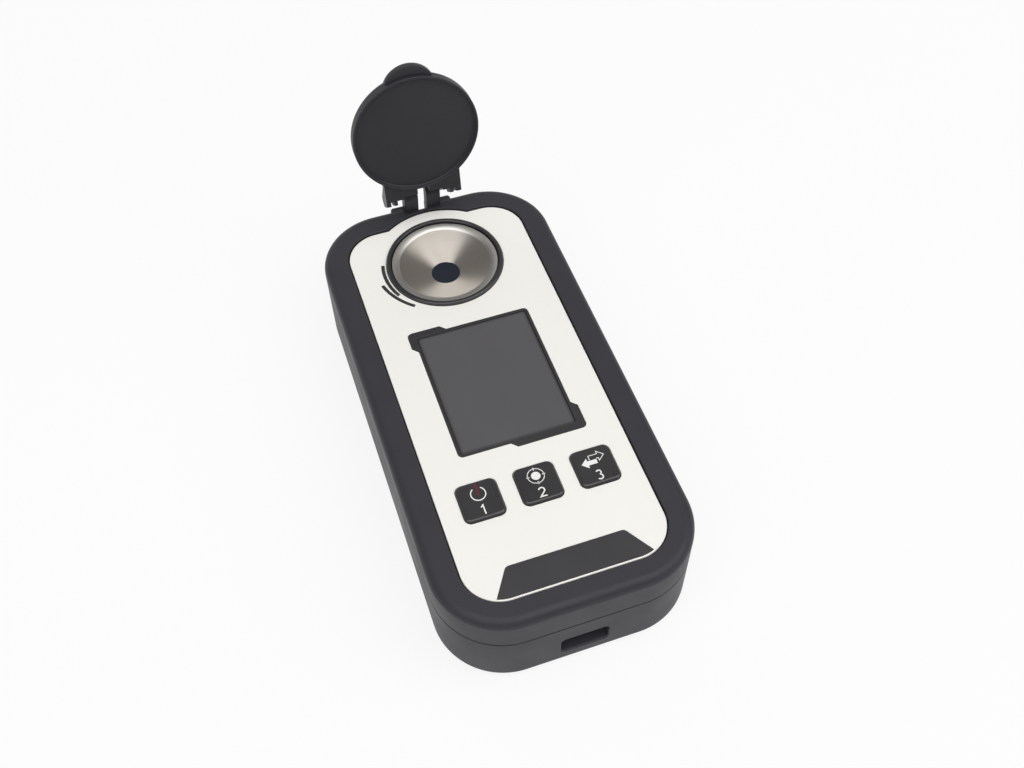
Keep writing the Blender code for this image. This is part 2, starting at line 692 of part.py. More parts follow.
# Lower case
lower = slab("lower_case", [case_outline()], 0, LOWER_TOP, BLACK_PLASTIC)
round_edges(lower, 0, BOTTOM_FILLET)
frame_half = DOOR_HALF + FRAME_MARGIN
cut(lower,
    slab("lower_cavity", [case_outline(WALL)], FLOOR, PARTING + OVERRUN),
    slab("seal_step", [case_outline(STEP_WIDTH)], LOWER_TOP - STEP_DEPTH, PARTING + OVERRUN))
fuse(lower,
     slab("door_frame", [rounded(-frame_half, frame_half, DOOR_FRONT - FRAME_MARGIN,
                                 DOOR_REAR + FRAME_MARGIN, DOOR_CORNER)], FLOOR / 2, FRAME_FLOOR),
     slab("bay_walls", [rounded(-BAY_HALF - BAY_WALL, BAY_HALF + BAY_WALL, BAY_FRONT - BAY_WALL,
                                BAY_REAR + BAY_WALL, BAY_WALL)], FLOOR / 2, BAY_TOP),
     slab("slot_walls", [rounded(-SLOT_HALF - SLOT_WALL, SLOT_HALF + SLOT_WALL, -CASE_END + WALL / 2,
                                 SLOT_REAR + SLOT_WALL, SLOT_WALL / 2)],
          FLOOR / 2, SLOT_HIGH + SLOT_WALL))
for side, x, y in CASE_SCREWS:
    fuse(lower, rod("lower_boss", BOSS_RADIUS, (x, y, FLOOR / 2), (x, y, LOWER_TOP)))
door_screw_y = DOOR_REAR - DOOR_SCREW_INSET
door_boss_top = BLOCK_BOTTOM - GAP
door_seat = GAP + HEAD_HEIGHT + GAP
fuse(lower, rod("door_boss", SMALL_BOSS, (0, door_screw_y, FLOOR / 2), (0, door_screw_y, door_boss_top)))
lip_low = DOOR_THICKNESS - DOOR_LIP_THICKNESS
cut(lower,
    slab("bay_hollow", [rounded(-BAY_HALF, BAY_HALF, BAY_FRONT, BAY_REAR, BAY_WALL / 2)],
         -OVERRUN, BAY_TOP + OVERRUN),
    slab("door_recess", [rounded(-DOOR_HALF - GAP, DOOR_HALF + GAP, DOOR_FRONT - GAP, DOOR_REAR + GAP,
                                 DOOR_CORNER + GAP)], -OVERRUN, LEDGE_HEIGHT),
    block("lip_pocket", (-DOOR_LIP_HALF - GAP, DOOR_FRONT - DOOR_LIP - GAP, lip_low - GAP),
          (DOOR_LIP_HALF + GAP, DOOR_FRONT, LEDGE_HEIGHT)),
    rod("door_hole", SCREW_HOLE, (0, door_screw_y, 0), (0, door_screw_y, door_boss_top + OVERRUN),
        steps=SMALL_ROD_STEPS))
for side, x, y in CASE_SCREWS:
    cut(lower,
        rod("lower_hole", SCREW_HOLE, (x, y, 0), (x, y, PARTING + OVERRUN), steps=SMALL_ROD_STEPS),
        rod("counterbore", HEAD_HOLE, (x, y, -OVERRUN), (x, y, CASE_SCREW_SEAT)))
front_mouth = rounded(-SLOT_HALF, SLOT_HALF, SLOT_LOW, SLOT_HIGH, SLOT_CORNER, steps=FILLET_STEPS)
mouth = slab("slot_mouth", [front_mouth], -CASE_END - OVERRUN, SLOT_REAR)
mouth.data.transform(Matrix(((1, 0, 0, 0), (0, 0, 1, 0), (0, 1, 0, 0), (0, 0, 0, 1))))
mouth.data.flip_normals()
cut(lower, mouth,
    slab("slot_drop", [rounded(-SLOT_HALF, SLOT_HALF, SLOT_INNER, SLOT_REAR, SLOT_CORNER,
                               steps=FILLET_STEPS)], -OVERRUN, SLOT_HIGH - SLOT_CORNER))

# Seal in the step where the two shells meet
seal_low = LOWER_TOP - STEP_DEPTH + GAP / 2
slab("case_seal", [case_outline(tongue_inset), case_outline(WALL)], seal_low,
     seal_low + SEAL_THICKNESS, RUBBER)

# White face, with a hole for each thing that shows through it
face_holes = [screen_outline(PRINT_GAP), circle(0, DISH_Y, RING_OUTER + GAP)]
face_holes += [key_outline(x, GAP) for name, x in KEY_PLACES]
face = slab("faceplate", [face_outline()] + face_holes, FACE_UNDER, FACE_TOP, WHITE_FACE)
inlay_low = FACE_TOP - INLAY_DEPTH
cut(face,
    slab("panel_pocket", [panel_outline(PRINT_GAP)], inlay_low, FACE_TOP + OVERRUN),
    slab("inner_mark_pocket", [mark_outline(INNER_MARK_RADIUS, INNER_MARK_ARC, grow=PRINT_GAP)],
         inlay_low, FACE_TOP + OVERRUN),
    slab("outer_mark_pocket", [mark_outline(OUTER_MARK_RADIUS, OUTER_MARK_ARC, OUTER_MARK_SHIFT, PRINT_GAP)],
         inlay_low, FACE_TOP + OVERRUN))
slab("front_panel", [panel_outline()], inlay_low + PRINT_GAP, FACE_TOP, INK)
slab("inner_mark", [mark_outline(INNER_MARK_RADIUS, INNER_MARK_ARC)], inlay_low + PRINT_GAP, FACE_TOP, INK)
slab("outer_mark", [mark_outline(OUTER_MARK_RADIUS, OUTER_MARK_ARC, OUTER_MARK_SHIFT)],
     inlay_low + PRINT_GAP, FACE_TOP, INK)


def screen_box(margin, radius):
    """The screen's rectangle drawn in by a margin."""
    half, end = SCREEN_WIDTH / 2 - margin, SCREEN_LENGTH / 2 - margin
    return rounded(-half, half, SCREEN_Y - end, SCREEN_Y + end, radius, steps=FILLET_STEPS)


# Screen: black surround, clear window, display glass, backlight and contact strips
slab("screen_surround", [screen_outline(), screen_box(BORDER, SCREEN_CORNER / 2)],
     FACE_UNDER, FACE_TOP, INK)
slab("display_window", [screen_box(BORDER + PRINT_GAP, SCREEN_CORNER / 2)],
     FACE_UNDER, FACE_UNDER + WINDOW_THICKNESS, CLEAR)
glass_top = FACE_UNDER - GAP
glass_low = glass_top - GLASS_THICKNESS
slab("display_glass", [screen_box(BORDER, SCREEN_CORNER)], glass_low, glass_top, LCD)
light_top = glass_low - GAP
light_low = BOARD_TOP + GAP + SEAL_THICKNESS + GAP
slab("backlight", [screen_box(-BACKLIGHT_EXTRA, SCREEN_CORNER)], light_low,
     min(light_top, SHELF_UNDER - GAP), DIFFUSER)
strip_half = SCREEN_WIDTH / 2 - STRIP_WIDTH
for word, sign in (("front", -1), ("rear", 1)):
    edge = SCREEN_Y + sign * (SCREEN_LENGTH / 2 - STRIP_WIDTH)
    low_y, high_y = edge - STRIP_WIDTH / 2, edge + STRIP_WIDTH / 2
    block("contact_strip_" + word, (-strip_half, low_y, BOARD_TOP + GAP),
          (strip_half, high_y, light_low - GAP), SILICONE)

# Keys, each with a switch and the plunger that it presses
for name, x in KEY_PLACES:
    cap = slab(name + "_key", [key_outline(x)], KEY_BOTTOM, FACE_TOP + KEY_RISE, SATIN_BLACK)
    round_edges(cap, FACE_TOP + KEY_RISE, KEY_EDGE, 2)
    centre = Vector((x, KEY_Y, KEY_BOTTOM))
    cap.data.transform(Matrix.Translation(-centre))
    cap.location = centre
    fuse(cap, slab(name + "_flange", [key_outline(x, KEY_FLANGE)], KEY_BOTTOM,
                   KEY_BOTTOM + KEY_FLANGE_HEIGHT))
    half = SWITCH_SIZE / 2
    body = block(name + "_switch", (x - half, KEY_Y - half, SWITCH_BOTTOM),
                 (x + half, KEY_Y + half, SWITCH_TOP), CHIP)
    cut(body, rod(name + "_switch_bore", PLUNGER_RADIUS + GAP, (x, KEY_Y, SWITCH_BOTTOM - OVERRUN),
                  (x, KEY_Y, SWITCH_TOP + OVERRUN)))
    plunger_low = SWITCH_BOTTOM + KEY_TRAVEL
    turned(name + "_plunger", [(0, PLUNGER_TOP - plunger_low), (PLUNGER_RADIUS, PLUNGER_TOP - plunger_low),
                               (PLUNGER_RADIUS, 0), (0, 0)], DIFFUSER, (x, KEY_Y, plunger_low),
           steps=ROD_STEPS)

# Main board, hung from four bosses of the upper case, and its controller chip
board = slab("main_board", [rounded(-BOARD_HALF, BOARD_HALF, BOARD_FRONT, BOARD_REAR, SCREEN_CORNER,
                                    steps=FILLET_STEPS)], BOARD_HEIGHT, BOARD_TOP, BOARD)
for side, x, y in BOARD_SCREWS:
    cut(board, rod("board_hole", SCREW_HOLE, (x, y, BOARD_HEIGHT - OVERRUN), (x, y, BOARD_TOP + OVERRUN),
                   steps=SMALL_ROD_STEPS))
chip_top = BOARD_HEIGHT - GAP
block("controller_chip", (CHIP_X - CHIP_SIZE / 2, CHIP_Y - CHIP_SIZE / 2, chip_top - CHIP_HEIGHT),
      (CHIP_X + CHIP_SIZE / 2, CHIP_Y + CHIP_SIZE / 2, chip_top), CHIP)

# Screws
for side, x, y in CASE_SCREWS:
    screw("case_screw_" + row_name(x, y), x, y, CASE_SCREW_SEAT - GAP - HEAD_HEIGHT, HOLE_TOP - TIP_CLEARANCE)
for side, x, y in BOARD_SCREWS:
    screw("board_screw_" + row_name(x, y), x, y, BOARD_HEIGHT - GAP - HEAD_HEIGHT, HOLE_TOP - TIP_CLEARANCE)
for side, x, y in OPTICS_SCREWS:
    screw("optics_screw_" + side, x, y, EAR_BOTTOM - GAP - HEAD_HEIGHT, HOLE_TOP - TIP_CLEARANCE)
screw("door_screw", 0, door_screw_y, GAP, door_boss_top - TIP_CLEARANCE)

# Sample dish: a steel cone with a flat flange, in a black surround ring
ring_low = FACE_UNDER
ring_high = FACE_TOP + RING_RISE
turned("dish_ring", [(RING_INNER, ring_high), (RING_OUTER - KEY_EDGE, ring_high),
                     (RING_OUTER, ring_high - KEY_EDGE), (RING_OUTER, ring_low), (RING_INNER, ring_low)],
       SATIN_BLACK, (0, DISH_Y, 0), ring=True)
collar_radius = DISH_THROAT + DISH_WALL
cone_slope = DISH_DEPTH / (DISH_MOUTH - DISH_THROAT)
collar_top = PRISM_TOP + cone_slope * DISH_WALL - FACE_THICKNESS
turned("sample_dish", [(DISH_THROAT, PRISM_TOP), (DISH_MOUTH, FACE_TOP), (FLANGE_RADIUS, FACE_TOP),
                       (FLANGE_RADIUS, FACE_UNDER), (DISH_MOUTH - GAP, FACE_UNDER),
                       (collar_radius, collar_top), (collar_radius, COLLAR_BOTTOM),
                       (DISH_THROAT, COLLAR_BOTTOM)],
       STEEL, (0, DISH_Y, 0), ring=True)

# Prism: a round head in the throat of the dish, on a tapered body
prism = rod("prism", PRISM_RADIUS, (0, DISH_Y, PRISM_TOP - PRISM_HEAD),
            (0, DISH_Y, PRISM_TOP - PRINT_GAP), OPTICAL_GLASS, steps=ROUND_STEPS)
neck = PRISM_TOP - PRISM_HEAD / 2
foot = PRISM_TOP - PRISM_DEPTH
shoulder = PRISM_RADIUS - GAP * 2
fuse(prism, side_slab("prism_body", [[(DISH_Y - PRISM_BASE, foot), (DISH_Y + PRISM_BASE, foot),
                                      (DISH_Y + shoulder, PRISM_TOP - PRISM_HEAD),
                                      (DISH_Y + shoulder, neck), (DISH_Y - shoulder, neck),
                                      (DISH_Y - shoulder, PRISM_TOP - PRISM_HEAD)]],
                      -PRISM_BASE / 2, PRISM_BASE / 2))
seal_top = COLLAR_BOTTOM - GAP
pocket_seat = seal_top - SEAL_WIDTH

# Optics block: holds the prism, the lamp and the lens in line, and hangs by two ears
optics = block("optics_block", (-BLOCK_HALF, BLOCK_FRONT, BLOCK_BOTTOM), (BLOCK_HALF, BLOCK_REAR, BLOCK_TOP),
               BLACK_PLASTIC)
fuse(optics, slab("optics_ears", [rounded(-EAR_HALF, EAR_HALF, DISH_Y - EAR_LENGTH / 2,
                                          DISH_Y + EAR_LENGTH / 2, EAR_LENGTH / 3, steps=FILLET_STEPS)],
                  EAR_BOTTOM, BLOCK_TOP - PRINT_GAP))
seal_radius = DISH_THROAT + SEAL_WIDTH
cut(optics,
    rod("prism_pocket", POCKET_RADIUS, (0, DISH_Y, foot - GAP), (0, DISH_Y, BLOCK_TOP + OVERRUN),
        steps=ROUND_STEPS),
    rod("seal_seat", seal_radius + GAP, (0, DISH_Y, pocket_seat - GAP), (0, DISH_Y, BLOCK_TOP + OVERRUN),
        steps=ROUND_STEPS),
    rod("light_bore", LIGHT_RADIUS + GAP, (0, BLOCK_FRONT - OVERRUN, LIGHT_HEIGHT),
        (0, BLOCK_REAR + OVERRUN, LIGHT_HEIGHT)))
for side, x, y in OPTICS_SCREWS:
    cut(optics, rod("ear_hole", SCREW_HOLE, (x, y, EAR_BOTTOM - OVERRUN), (x, y, BLOCK_TOP + OVERRUN),
                    steps=SMALL_ROD_STEPS))
turned("prism_seal", [(DISH_THROAT, SEAL_WIDTH), (seal_radius, SEAL_WIDTH), (seal_radius, 0),
                      (DISH_THROAT, 0)], RUBBER, (0, DISH_Y, pocket_seat), ring=True, steps=SEAL_STEPS)

# Lamp, lens, image sensor on its board, thermistor and the flat cable between the boards
led_tail = BLOCK_FRONT - LED_FLANGE - GAP
rod("lamp_led", LIGHT_RADIUS, (0, led_tail, LIGHT_HEIGHT),
    (0, led_tail + LED_LENGTH, LIGHT_HEIGHT), AMBER)
lens_y = BLOCK_REAR - LENS_SETBACK
rod("lens", LIGHT_RADIUS, (0, lens_y, LIGHT_HEIGHT),
    (0, lens_y + LENS_THICKNESS, LIGHT_HEIGHT), OPTICAL_GLASS)
half = SENSOR_SIZE / 2
block("image_sensor", (-half, SENSOR_FRONT, LIGHT_HEIGHT - half),
      (half, SENSOR_FRONT + SENSOR_THICKNESS, LIGHT_HEIGHT + half), CHIP)
block("sensor_board", (-SENSOR_BOARD_HALF, SENSOR_BOARD_FRONT, BLOCK_BOTTOM),
      (SENSOR_BOARD_HALF, SENSOR_BOARD_FRONT + SENSOR_BOARD_THICKNESS, SENSOR_BOARD_TOP), BOARD)
rod("thermistor", THERMISTOR_RADIUS, (THERMISTOR_X, DISH_Y, BLOCK_TOP + GAP),
    (THERMISTOR_X, DISH_Y, BLOCK_TOP + GAP + THERMISTOR_HEIGHT), CHIP, SMALL_ROD_STEPS)
flex_top = BOARD_HEIGHT - GAP
flex_left = BLOCK_HALF + GAP
block("flex_cable", (flex_left, BOARD_REAR - FLEX_OVERLAP, flex_top - GAP),
      (flex_left + FLEX_WIDTH, SENSOR_BOARD_FRONT - GAP, flex_top), POLYIMIDE)

# Battery, its contacts, and the door with its gasket
nub_start = CELL_LENGTH
profile = [(0, nub_start + CELL_NUB), (CELL_NUB_RADIUS, nub_start + CELL_NUB), (CELL_NUB_RADIUS, nub_start),
           (CELL_RADIUS, nub_start), (CELL_RADIUS, 0), (0, 0)]
cell = turned("battery", profile, CELL, (0, CELL_FRONT, CELL_HEIGHT), steps=ROUND_STEPS // 2)
cell.rotation_euler = (math.radians(-90), 0, 0)
contact_low, contact_high = CELL_HEIGHT - CONTACT_HALF, CELL_HEIGHT + CONTACT_HALF
block("battery_plus_contact", (-CONTACT_HALF, PLUS_PLATE, contact_low),
      (CONTACT_HALF, PLUS_PLATE + CONTACT_THICKNESS, contact_high), NICKEL)
block("battery_minus_contact", (-CONTACT_HALF, MINUS_PLATE - CONTACT_THICKNESS, contact_low),
      (CONTACT_HALF, MINUS_PLATE, contact_high), NICKEL)


def spring_points():
    """A conical coil along the case, wide at its plate and narrow at the cell."""
    count = SPRING_TURNS * SMALL_ROD_STEPS
    start = MINUS_PLATE + GAP + SPRING_WIRE
    run = SPRING_LENGTH - 2 * SPRING_WIRE
    for i in range(count + 1):
        share = i / count
        radius = SPRING_WIDE + (SPRING_NARROW - SPRING_WIDE) * share
        turn = TAU * SPRING_TURNS * share
        yield (radius * math.cos(turn), start + run * share, CELL_HEIGHT + radius * math.sin(turn))


def wire(name, points, radius, look):
    """A round wire along a list of points, with closed ends."""
    curve = bpy.data.curves.new(name, "CURVE")
    curve.dimensions = "3D"
    curve.bevel_depth = radius
    curve.bevel_resolution = 1
    curve.use_fill_caps = True
    spline = curve.splines.new("POLY")
    spline.points.add(len(points) - 1)
    for point, place in zip(spline.points, points):
        point.co = (*place, 1)
    return add(name, meshed(curve), look)


wire("battery_spring", list(spring_points()), SPRING_WIRE, NICKEL)
door = slab("battery_door", [rounded(-DOOR_HALF, DOOR_HALF, DOOR_FRONT, DOOR_REAR, DOOR_CORNER)],
            0, DOOR_THICKNESS, BLACK_PLASTIC)
fuse(door, block("door_lip", (-DOOR_LIP_HALF, DOOR_FRONT - DOOR_LIP, lip_low),
                 (DOOR_LIP_HALF, DOOR_FRONT + DOOR_LIP, DOOR_THICKNESS - WELD)))
fuse(door, rod("door_pad", DOOR_PAD_RADIUS, (0, door_screw_y, DOOR_THICKNESS / 2),
               (0, door_screw_y, DOOR_PAD_TOP)))
cut(door,
    rod("door_counterbore", HEAD_HOLE, (0, door_screw_y, -OVERRUN), (0, door_screw_y, door_seat)),
    rod("door_screw_hole", SCREW_HOLE, (0, door_screw_y, 0), (0, door_screw_y, DOOR_PAD_TOP + OVERRUN),
        steps=SMALL_ROD_STEPS))
ledge = BAY_HALF + GAP
gasket_rear = BAY_REAR + DOOR_LEDGE
slab("door_gasket", [rounded(-DOOR_HALF + GAP, DOOR_HALF - GAP, DOOR_FRONT + GAP, gasket_rear, DOOR_CORNER),
                     rounded(-ledge, ledge, BAY_FRONT - GAP, BAY_REAR + GAP, BAY_WALL / 2)],
     GASKET_BOTTOM, GASKET_BOTTOM + GASKET_THICKNESS, RUBBER)

# Hinge pins, one in each lug
hinge_end = SKIRT_HALF - PIN_BLIND
for side, sign in (("left", -1), ("right", 1)):
    rod("hinge_pin_" + side, PIN_RADIUS, (sign * (LUG_INNER + PIN_BLIND + GAP), HINGE_Y, HINGE_Z),
        (sign * (hinge_end - GAP), HINGE_Y, HINGE_Z), SCREW_STEEL, SMALL_ROD_STEPS)

# Lid: a shallow round cap with a thumb tab, a skirt and four hinge ribs, hung on its axis
axis = bpy.data.objects.new("lid_axis", None)
PARTS.objects.link(axis)
axis.location = (0, HINGE_Y, HINGE_Z)
axis.rotation_euler = (math.radians(-OPEN_ANGLE), 0, 0)


def on_lid(thing, y=0.0):
    """Hangs a piece of the lid on the hinge axis, at a distance towards the dish."""
    thing.parent = axis
    thing.location = (0, -y, 0)
    return thing


def rib_outline():
    """The side view of a hinge rib, from the skirt back round the pin."""
    start, end = RIB_EYE_ARC
    return ([(-RIB_BAND, -LID_DROP + SKIRT_RISE), (-RIB_END, -LID_DROP + SKIRT_RISE)]
            + arc(0, 0, RIB_EYE, start, end) + [(-RIB_BAND, -LID_BACK)])


lip_inner = LID_RADIUS - LID_LIP
lid = turned("lid", [(0, -LID_BACK)]
             + [(r, z) for r, z in reversed(arc(LID_RADIUS - LID_EDGE, -LID_BACK - LID_EDGE, LID_EDGE, 0, 90,
                                                FILLET_STEPS))]
             + [(LID_RADIUS, -LID_DROP), (lip_inner, -LID_DROP), (lip_inner, -LID_FIELD), (0, -LID_FIELD)],
             BLACK_PLASTIC)
on_lid(lid, LID_REACH)
skirt_low = -LID_DROP + SKIRT_RISE
skirt_gap_half = LUG_OUTER + GAP
skirt_loop = [(-SKIRT_HALF, -SKIRT_ROOT), (SKIRT_HALF, -SKIRT_ROOT), (SKIRT_HALF, -SKIRT_END),
              (skirt_gap_half, -SKIRT_END), (skirt_gap_half, -SKIRT_CENTRE_END),
              (-skirt_gap_half, -SKIRT_CENTRE_END), (-skirt_gap_half, -SKIRT_END),
              (-SKIRT_HALF, -SKIRT_END)]
additions = [on_lid(slab("lid_skirt", [skirt_loop], skirt_low, -LID_BACK - WELD)),
             on_lid(slab("lid_tab", [circle(0, -TAB_REACH, TAB_RADIUS)],
                         -LID_BACK - TAB_THICKNESS, -LID_BACK - GAP))]
for side, sign in (("left", -1), ("right", 1)):
    outer = sorted((sign * (SKIRT_HALF - OUTER_RIB), sign * SKIRT_HALF))
    inner = sorted((sign * INNER_RIB_OFFSET, sign * (INNER_RIB_OFFSET + INNER_RIB)))
    additions.append(on_lid(side_slab("outer_rib_" + side, [rib_outline()], *outer)))
    additions.append(on_lid(side_slab("inner_rib_" + side, [rib_outline()], *inner)))
fuse(lid, *additions)
cut(lid,
    on_lid(turned("lid_field", [(0, -LID_FIELD), (lip_inner, -LID_FIELD), (lip_inner, -LID_DROP - OVERRUN),
                                (0, -LID_DROP - OVERRUN)]), LID_REACH),
    on_lid(block("lid_window", (-WINDOW_HALF, -WINDOW_TOP, -LID_DROP - OVERRUN), (WINDOW_HALF, 0, 0))))
for side, sign in (("left", -1), ("right", 1)):
    cut(lid, on_lid(rod("rib_bore_" + side, PIN_RADIUS + GAP, (sign * LUG_OUTER, 0, 0),
                        (sign * hinge_end, 0, 0), steps=SMALL_ROD_STEPS)))
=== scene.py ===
"""Looks of the pocket digital refractometer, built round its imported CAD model.

Metres, in the CAD frame: +Z out of the white face, +Y towards the lid hinge.
"""

import math

import bmesh
import bpy
from mathutils import Matrix, Vector


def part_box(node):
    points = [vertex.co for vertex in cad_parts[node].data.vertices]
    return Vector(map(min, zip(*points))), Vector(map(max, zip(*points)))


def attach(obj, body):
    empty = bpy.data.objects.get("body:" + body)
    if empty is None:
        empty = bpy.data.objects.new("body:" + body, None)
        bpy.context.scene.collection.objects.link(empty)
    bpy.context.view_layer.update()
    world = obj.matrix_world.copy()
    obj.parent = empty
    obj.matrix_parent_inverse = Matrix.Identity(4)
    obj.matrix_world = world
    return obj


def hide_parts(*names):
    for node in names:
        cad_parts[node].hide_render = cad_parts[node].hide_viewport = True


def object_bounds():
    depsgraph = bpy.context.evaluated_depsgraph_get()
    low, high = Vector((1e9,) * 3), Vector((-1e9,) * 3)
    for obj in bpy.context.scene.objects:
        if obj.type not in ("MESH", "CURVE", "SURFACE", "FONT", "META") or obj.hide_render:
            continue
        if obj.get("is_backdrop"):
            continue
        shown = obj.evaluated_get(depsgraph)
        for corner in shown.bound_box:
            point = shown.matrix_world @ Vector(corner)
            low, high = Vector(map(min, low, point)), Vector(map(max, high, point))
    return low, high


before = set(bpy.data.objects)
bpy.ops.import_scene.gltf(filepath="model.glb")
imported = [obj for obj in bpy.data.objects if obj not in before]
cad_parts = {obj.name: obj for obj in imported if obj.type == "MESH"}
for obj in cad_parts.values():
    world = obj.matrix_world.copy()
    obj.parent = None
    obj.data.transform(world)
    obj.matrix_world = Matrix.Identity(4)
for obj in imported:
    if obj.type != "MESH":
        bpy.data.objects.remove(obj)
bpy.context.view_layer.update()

# Camera and studio. The instrument lies on a plain white table under one large overhead
# softbox and two side ones; the camera stands where the photographer did.
CAMERA_PLACE = (-0.04534, -0.15146, 0.23367)
CAMERA_RIGHT = Vector((0.9454, -0.3258, -0.0109))
CAMERA_DOWN = Vector((-0.2673, -0.7556, -0.5981))
CAMERA_LOOK = Vector((0.1866, 0.5683, -0.8014))
CAMERA_LENS = 40.16
TABLE_HALF = 4.0
TABLE_DROP = 0.0001
TABLE_TONE = 0.84
TABLE_GLOW = 0.85
ROOM_TONE = (1.0, 0.99, 0.97)
ROOM_LEVEL = 0.16
REAR_LEVEL = 0.80
REAR_FALL = 3.0

camera_data = bpy.data.cameras.new("camera")
camera = bpy.data.objects.new("camera", camera_data)
bpy.context.scene.collection.objects.link(camera)
bpy.context.scene.camera = camera
camera_data.sensor_fit = "HORIZONTAL"
camera_data.sensor_width = 36.0
camera_data.lens = CAMERA_LENS
camera_data.clip_start = 0.01
camera_turn = Matrix((CAMERA_RIGHT, -CAMERA_DOWN, -CAMERA_LOOK)).transposed()
camera.rotation_mode = "QUATERNION"
camera.rotation_quaternion = camera_turn.to_quaternion()
camera.location = CAMERA_PLACE
bpy.context.scene.view_settings.view_transform = "Standard"


def tree_of(block):
    """A material's or world's nodes and links, ready to be wired."""
    block.use_nodes = True
    return block.node_tree.nodes, block.node_tree.links


def maths(nodes, links, operation, *inputs):
    """The result of one Math node; each input is a number or the output that feeds it."""
    node = nodes.new("ShaderNodeMath")
    node.operation = operation
    for socket, value in zip(node.inputs, inputs):
        if isinstance(value, float):
            socket.default_value = value
        else:
            links.new(value, socket)
    return node.outputs[0]


def mixed(nodes, links, share, first, second, output):
    """Mixes two shaders by a share and wires the result to the output's surface."""
    mix = nodes.new("ShaderNodeMixShader")
    links.new(share, mix.inputs[0])
    links.new(first.outputs[0], mix.inputs[1])
    links.new(second.outputs[0], mix.inputs[2])
    links.new(mix.outputs[0], nodes.new(output).inputs["Surface"])


table_mesh = bpy.data.meshes.new("table_top")
table_corners = ((-1, -1), (1, -1), (1, 1), (-1, 1))
table_mesh.from_pydata([(x * TABLE_HALF, y * TABLE_HALF, 0) for x, y in table_corners], [], [(0, 1, 2, 3)])
table = bpy.data.objects.new("table_top", table_mesh)
bpy.context.scene.collection.objects.link(table)
table.location = (0, 0, -TABLE_DROP)
table_white = bpy.data.materials.new("white_table")
nodes, links = tree_of(table_white)
nodes.clear()
table_diffuse = nodes.new("ShaderNodeBsdfDiffuse")
table_diffuse.inputs["Color"].default_value = (TABLE_TONE, TABLE_TONE, TABLE_TONE, 1)
path = nodes.new("ShaderNodeLightPath")
# 1 where the camera, a mirror or clear glass sees the table, 0 for its light on the instrument
seen = maths(nodes, links, "MAXIMUM", path.outputs["Is Camera Ray"], path.outputs["Is Glossy Ray"])
seen = maths(nodes, links, "MAXIMUM", seen, path.outputs["Is Transmission Ray"])
mixed(nodes, links, maths(nodes, links, "MULTIPLY", seen, TABLE_GLOW), table_diffuse,
      nodes.new("ShaderNodeEmission"), "ShaderNodeOutputMaterial")
table_mesh.materials.append(table_white)
table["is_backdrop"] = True

studio = bpy.data.worlds.new("studio")
bpy.context.scene.world = studio
nodes, links = tree_of(studio)
nodes.clear()
room = nodes.new("ShaderNodeBackground")
room.inputs["Color"].default_value = (*ROOM_TONE, 1)
white = nodes.new("ShaderNodeBackground")
white.inputs["Color"].default_value = (1, 1, 1, 1)
way = nodes.new("ShaderNodeTexCoord")
apart = nodes.new("ShaderNodeSeparateXYZ")
links.new(way.outputs["Generated"], apart.inputs[0])
rear = maths(nodes, links, "MAXIMUM", apart.outputs["Y"], 0.0)
rear = maths(nodes, links, "POWER", rear, REAR_FALL)
level = maths(nodes, links, "MULTIPLY_ADD", rear, REAR_LEVEL, ROOM_LEVEL)
links.new(level, room.inputs["Strength"])
camera_ray = nodes.new("ShaderNodeLightPath").outputs["Is Camera Ray"]
mixed(nodes, links, camera_ray, room, white, "ShaderNodeOutputWorld")


def softbox(name, place, aim, size, power, colour):
    """A square soft light that faces a point."""
    data = bpy.data.lights.new(name, "AREA")
    data.shape = "SQUARE"
    data.size = size
    data.energy = power
    data.color = colour
    light = bpy.data.objects.new(name, data)
    bpy.context.scene.collection.objects.link(light)
    light.location = place
    light.rotation_mode = "QUATERNION"
    light.rotation_quaternion = (Vector(aim) - Vector(place)).to_track_quat("-Z", "Y")


softbox("overhead_softbox", place=(0.10, -0.35, 1.30), aim=(0, 0, 0), size=1.5, power=13.9,
        colour=ROOM_TONE)
softbox("left_softbox", place=(-0.85, -0.50, 0.95), aim=(0, 0, 0.02), size=0.8, power=4.3,
        colour=(0.98, 0.99, 1.0))
softbox("right_softbox", place=(1.00, -0.40, 0.90), aim=(0, 0, 0.02), size=0.8, power=4.6,
        colour=(1.0, 0.99, 0.98))


# Upper case. The real shell is injection-moulded charcoal ABS with a fine spark-eroded skin; it
# carries the white face in a shallow pocket and has the lid's two hinge lugs moulded on its rear.
GAP = 0.0003
WELD = 0.000001
EDGE_BREAK = 0.0002
SHARP_ANGLE = 32
OVERRUN = 0.001
CASE_HALF = 0.029
CASE_END = 0.060
CASE_TOP = 0.025
CASE_CORNER = 0.016
CASE_WALL = 0.0024
PARTING = 0.0160
TOP_FILLET = 0.0022
TONGUE_INSET = 0.0014
TONGUE_DEPTH = 0.00135
FACE_HALF = 0.0225
FACE_FRONT = -0.0541
FACE_REAR = 0.0530
FACE_CORNER = 0.0085
FACE_BULGE = 0.0180
FACE_TOP = 0.0246
FACE_UNDER = 0.0236
SHELF_TOP = 0.0233
SHELF_UNDER = 0.0217
SHELF_WINDOW = (-0.0133, 0.0133, -0.0177, 0.0167, 0.0012)
DISH_Y = 0.0383
DISH_HOLE = 0.0119
HINGE_Y = 0.0585
HINGE_Z = 0.02977
BOSS_HALF = 0.0080
BOSS_REACH = 0.0008
BOSS_LOW = 0.0200
BOSS_TOP = 0.0248
BOSS_EDGE = 0.00078
NOTCH_DEPTH = 0.0026
LUG_INNER = 0.0011
LUG_OUTER = 0.0047
LUG_EYE = 0.0017
LUG_FRONT = -0.00066
LUG_BACK = 0.0020
PIN_BORE = 0.0009
PIN_BORE_INNER = 0.0020
PIN_BORE_OUTER = 0.0055
KEY_PITCH = 0.01307
KEY_Y = -0.0302
KEY_HOLE_HALF = 0.00485
KEY_HOLE_END = 0.0050
KEY_HOLE_CORNER = 0.0016
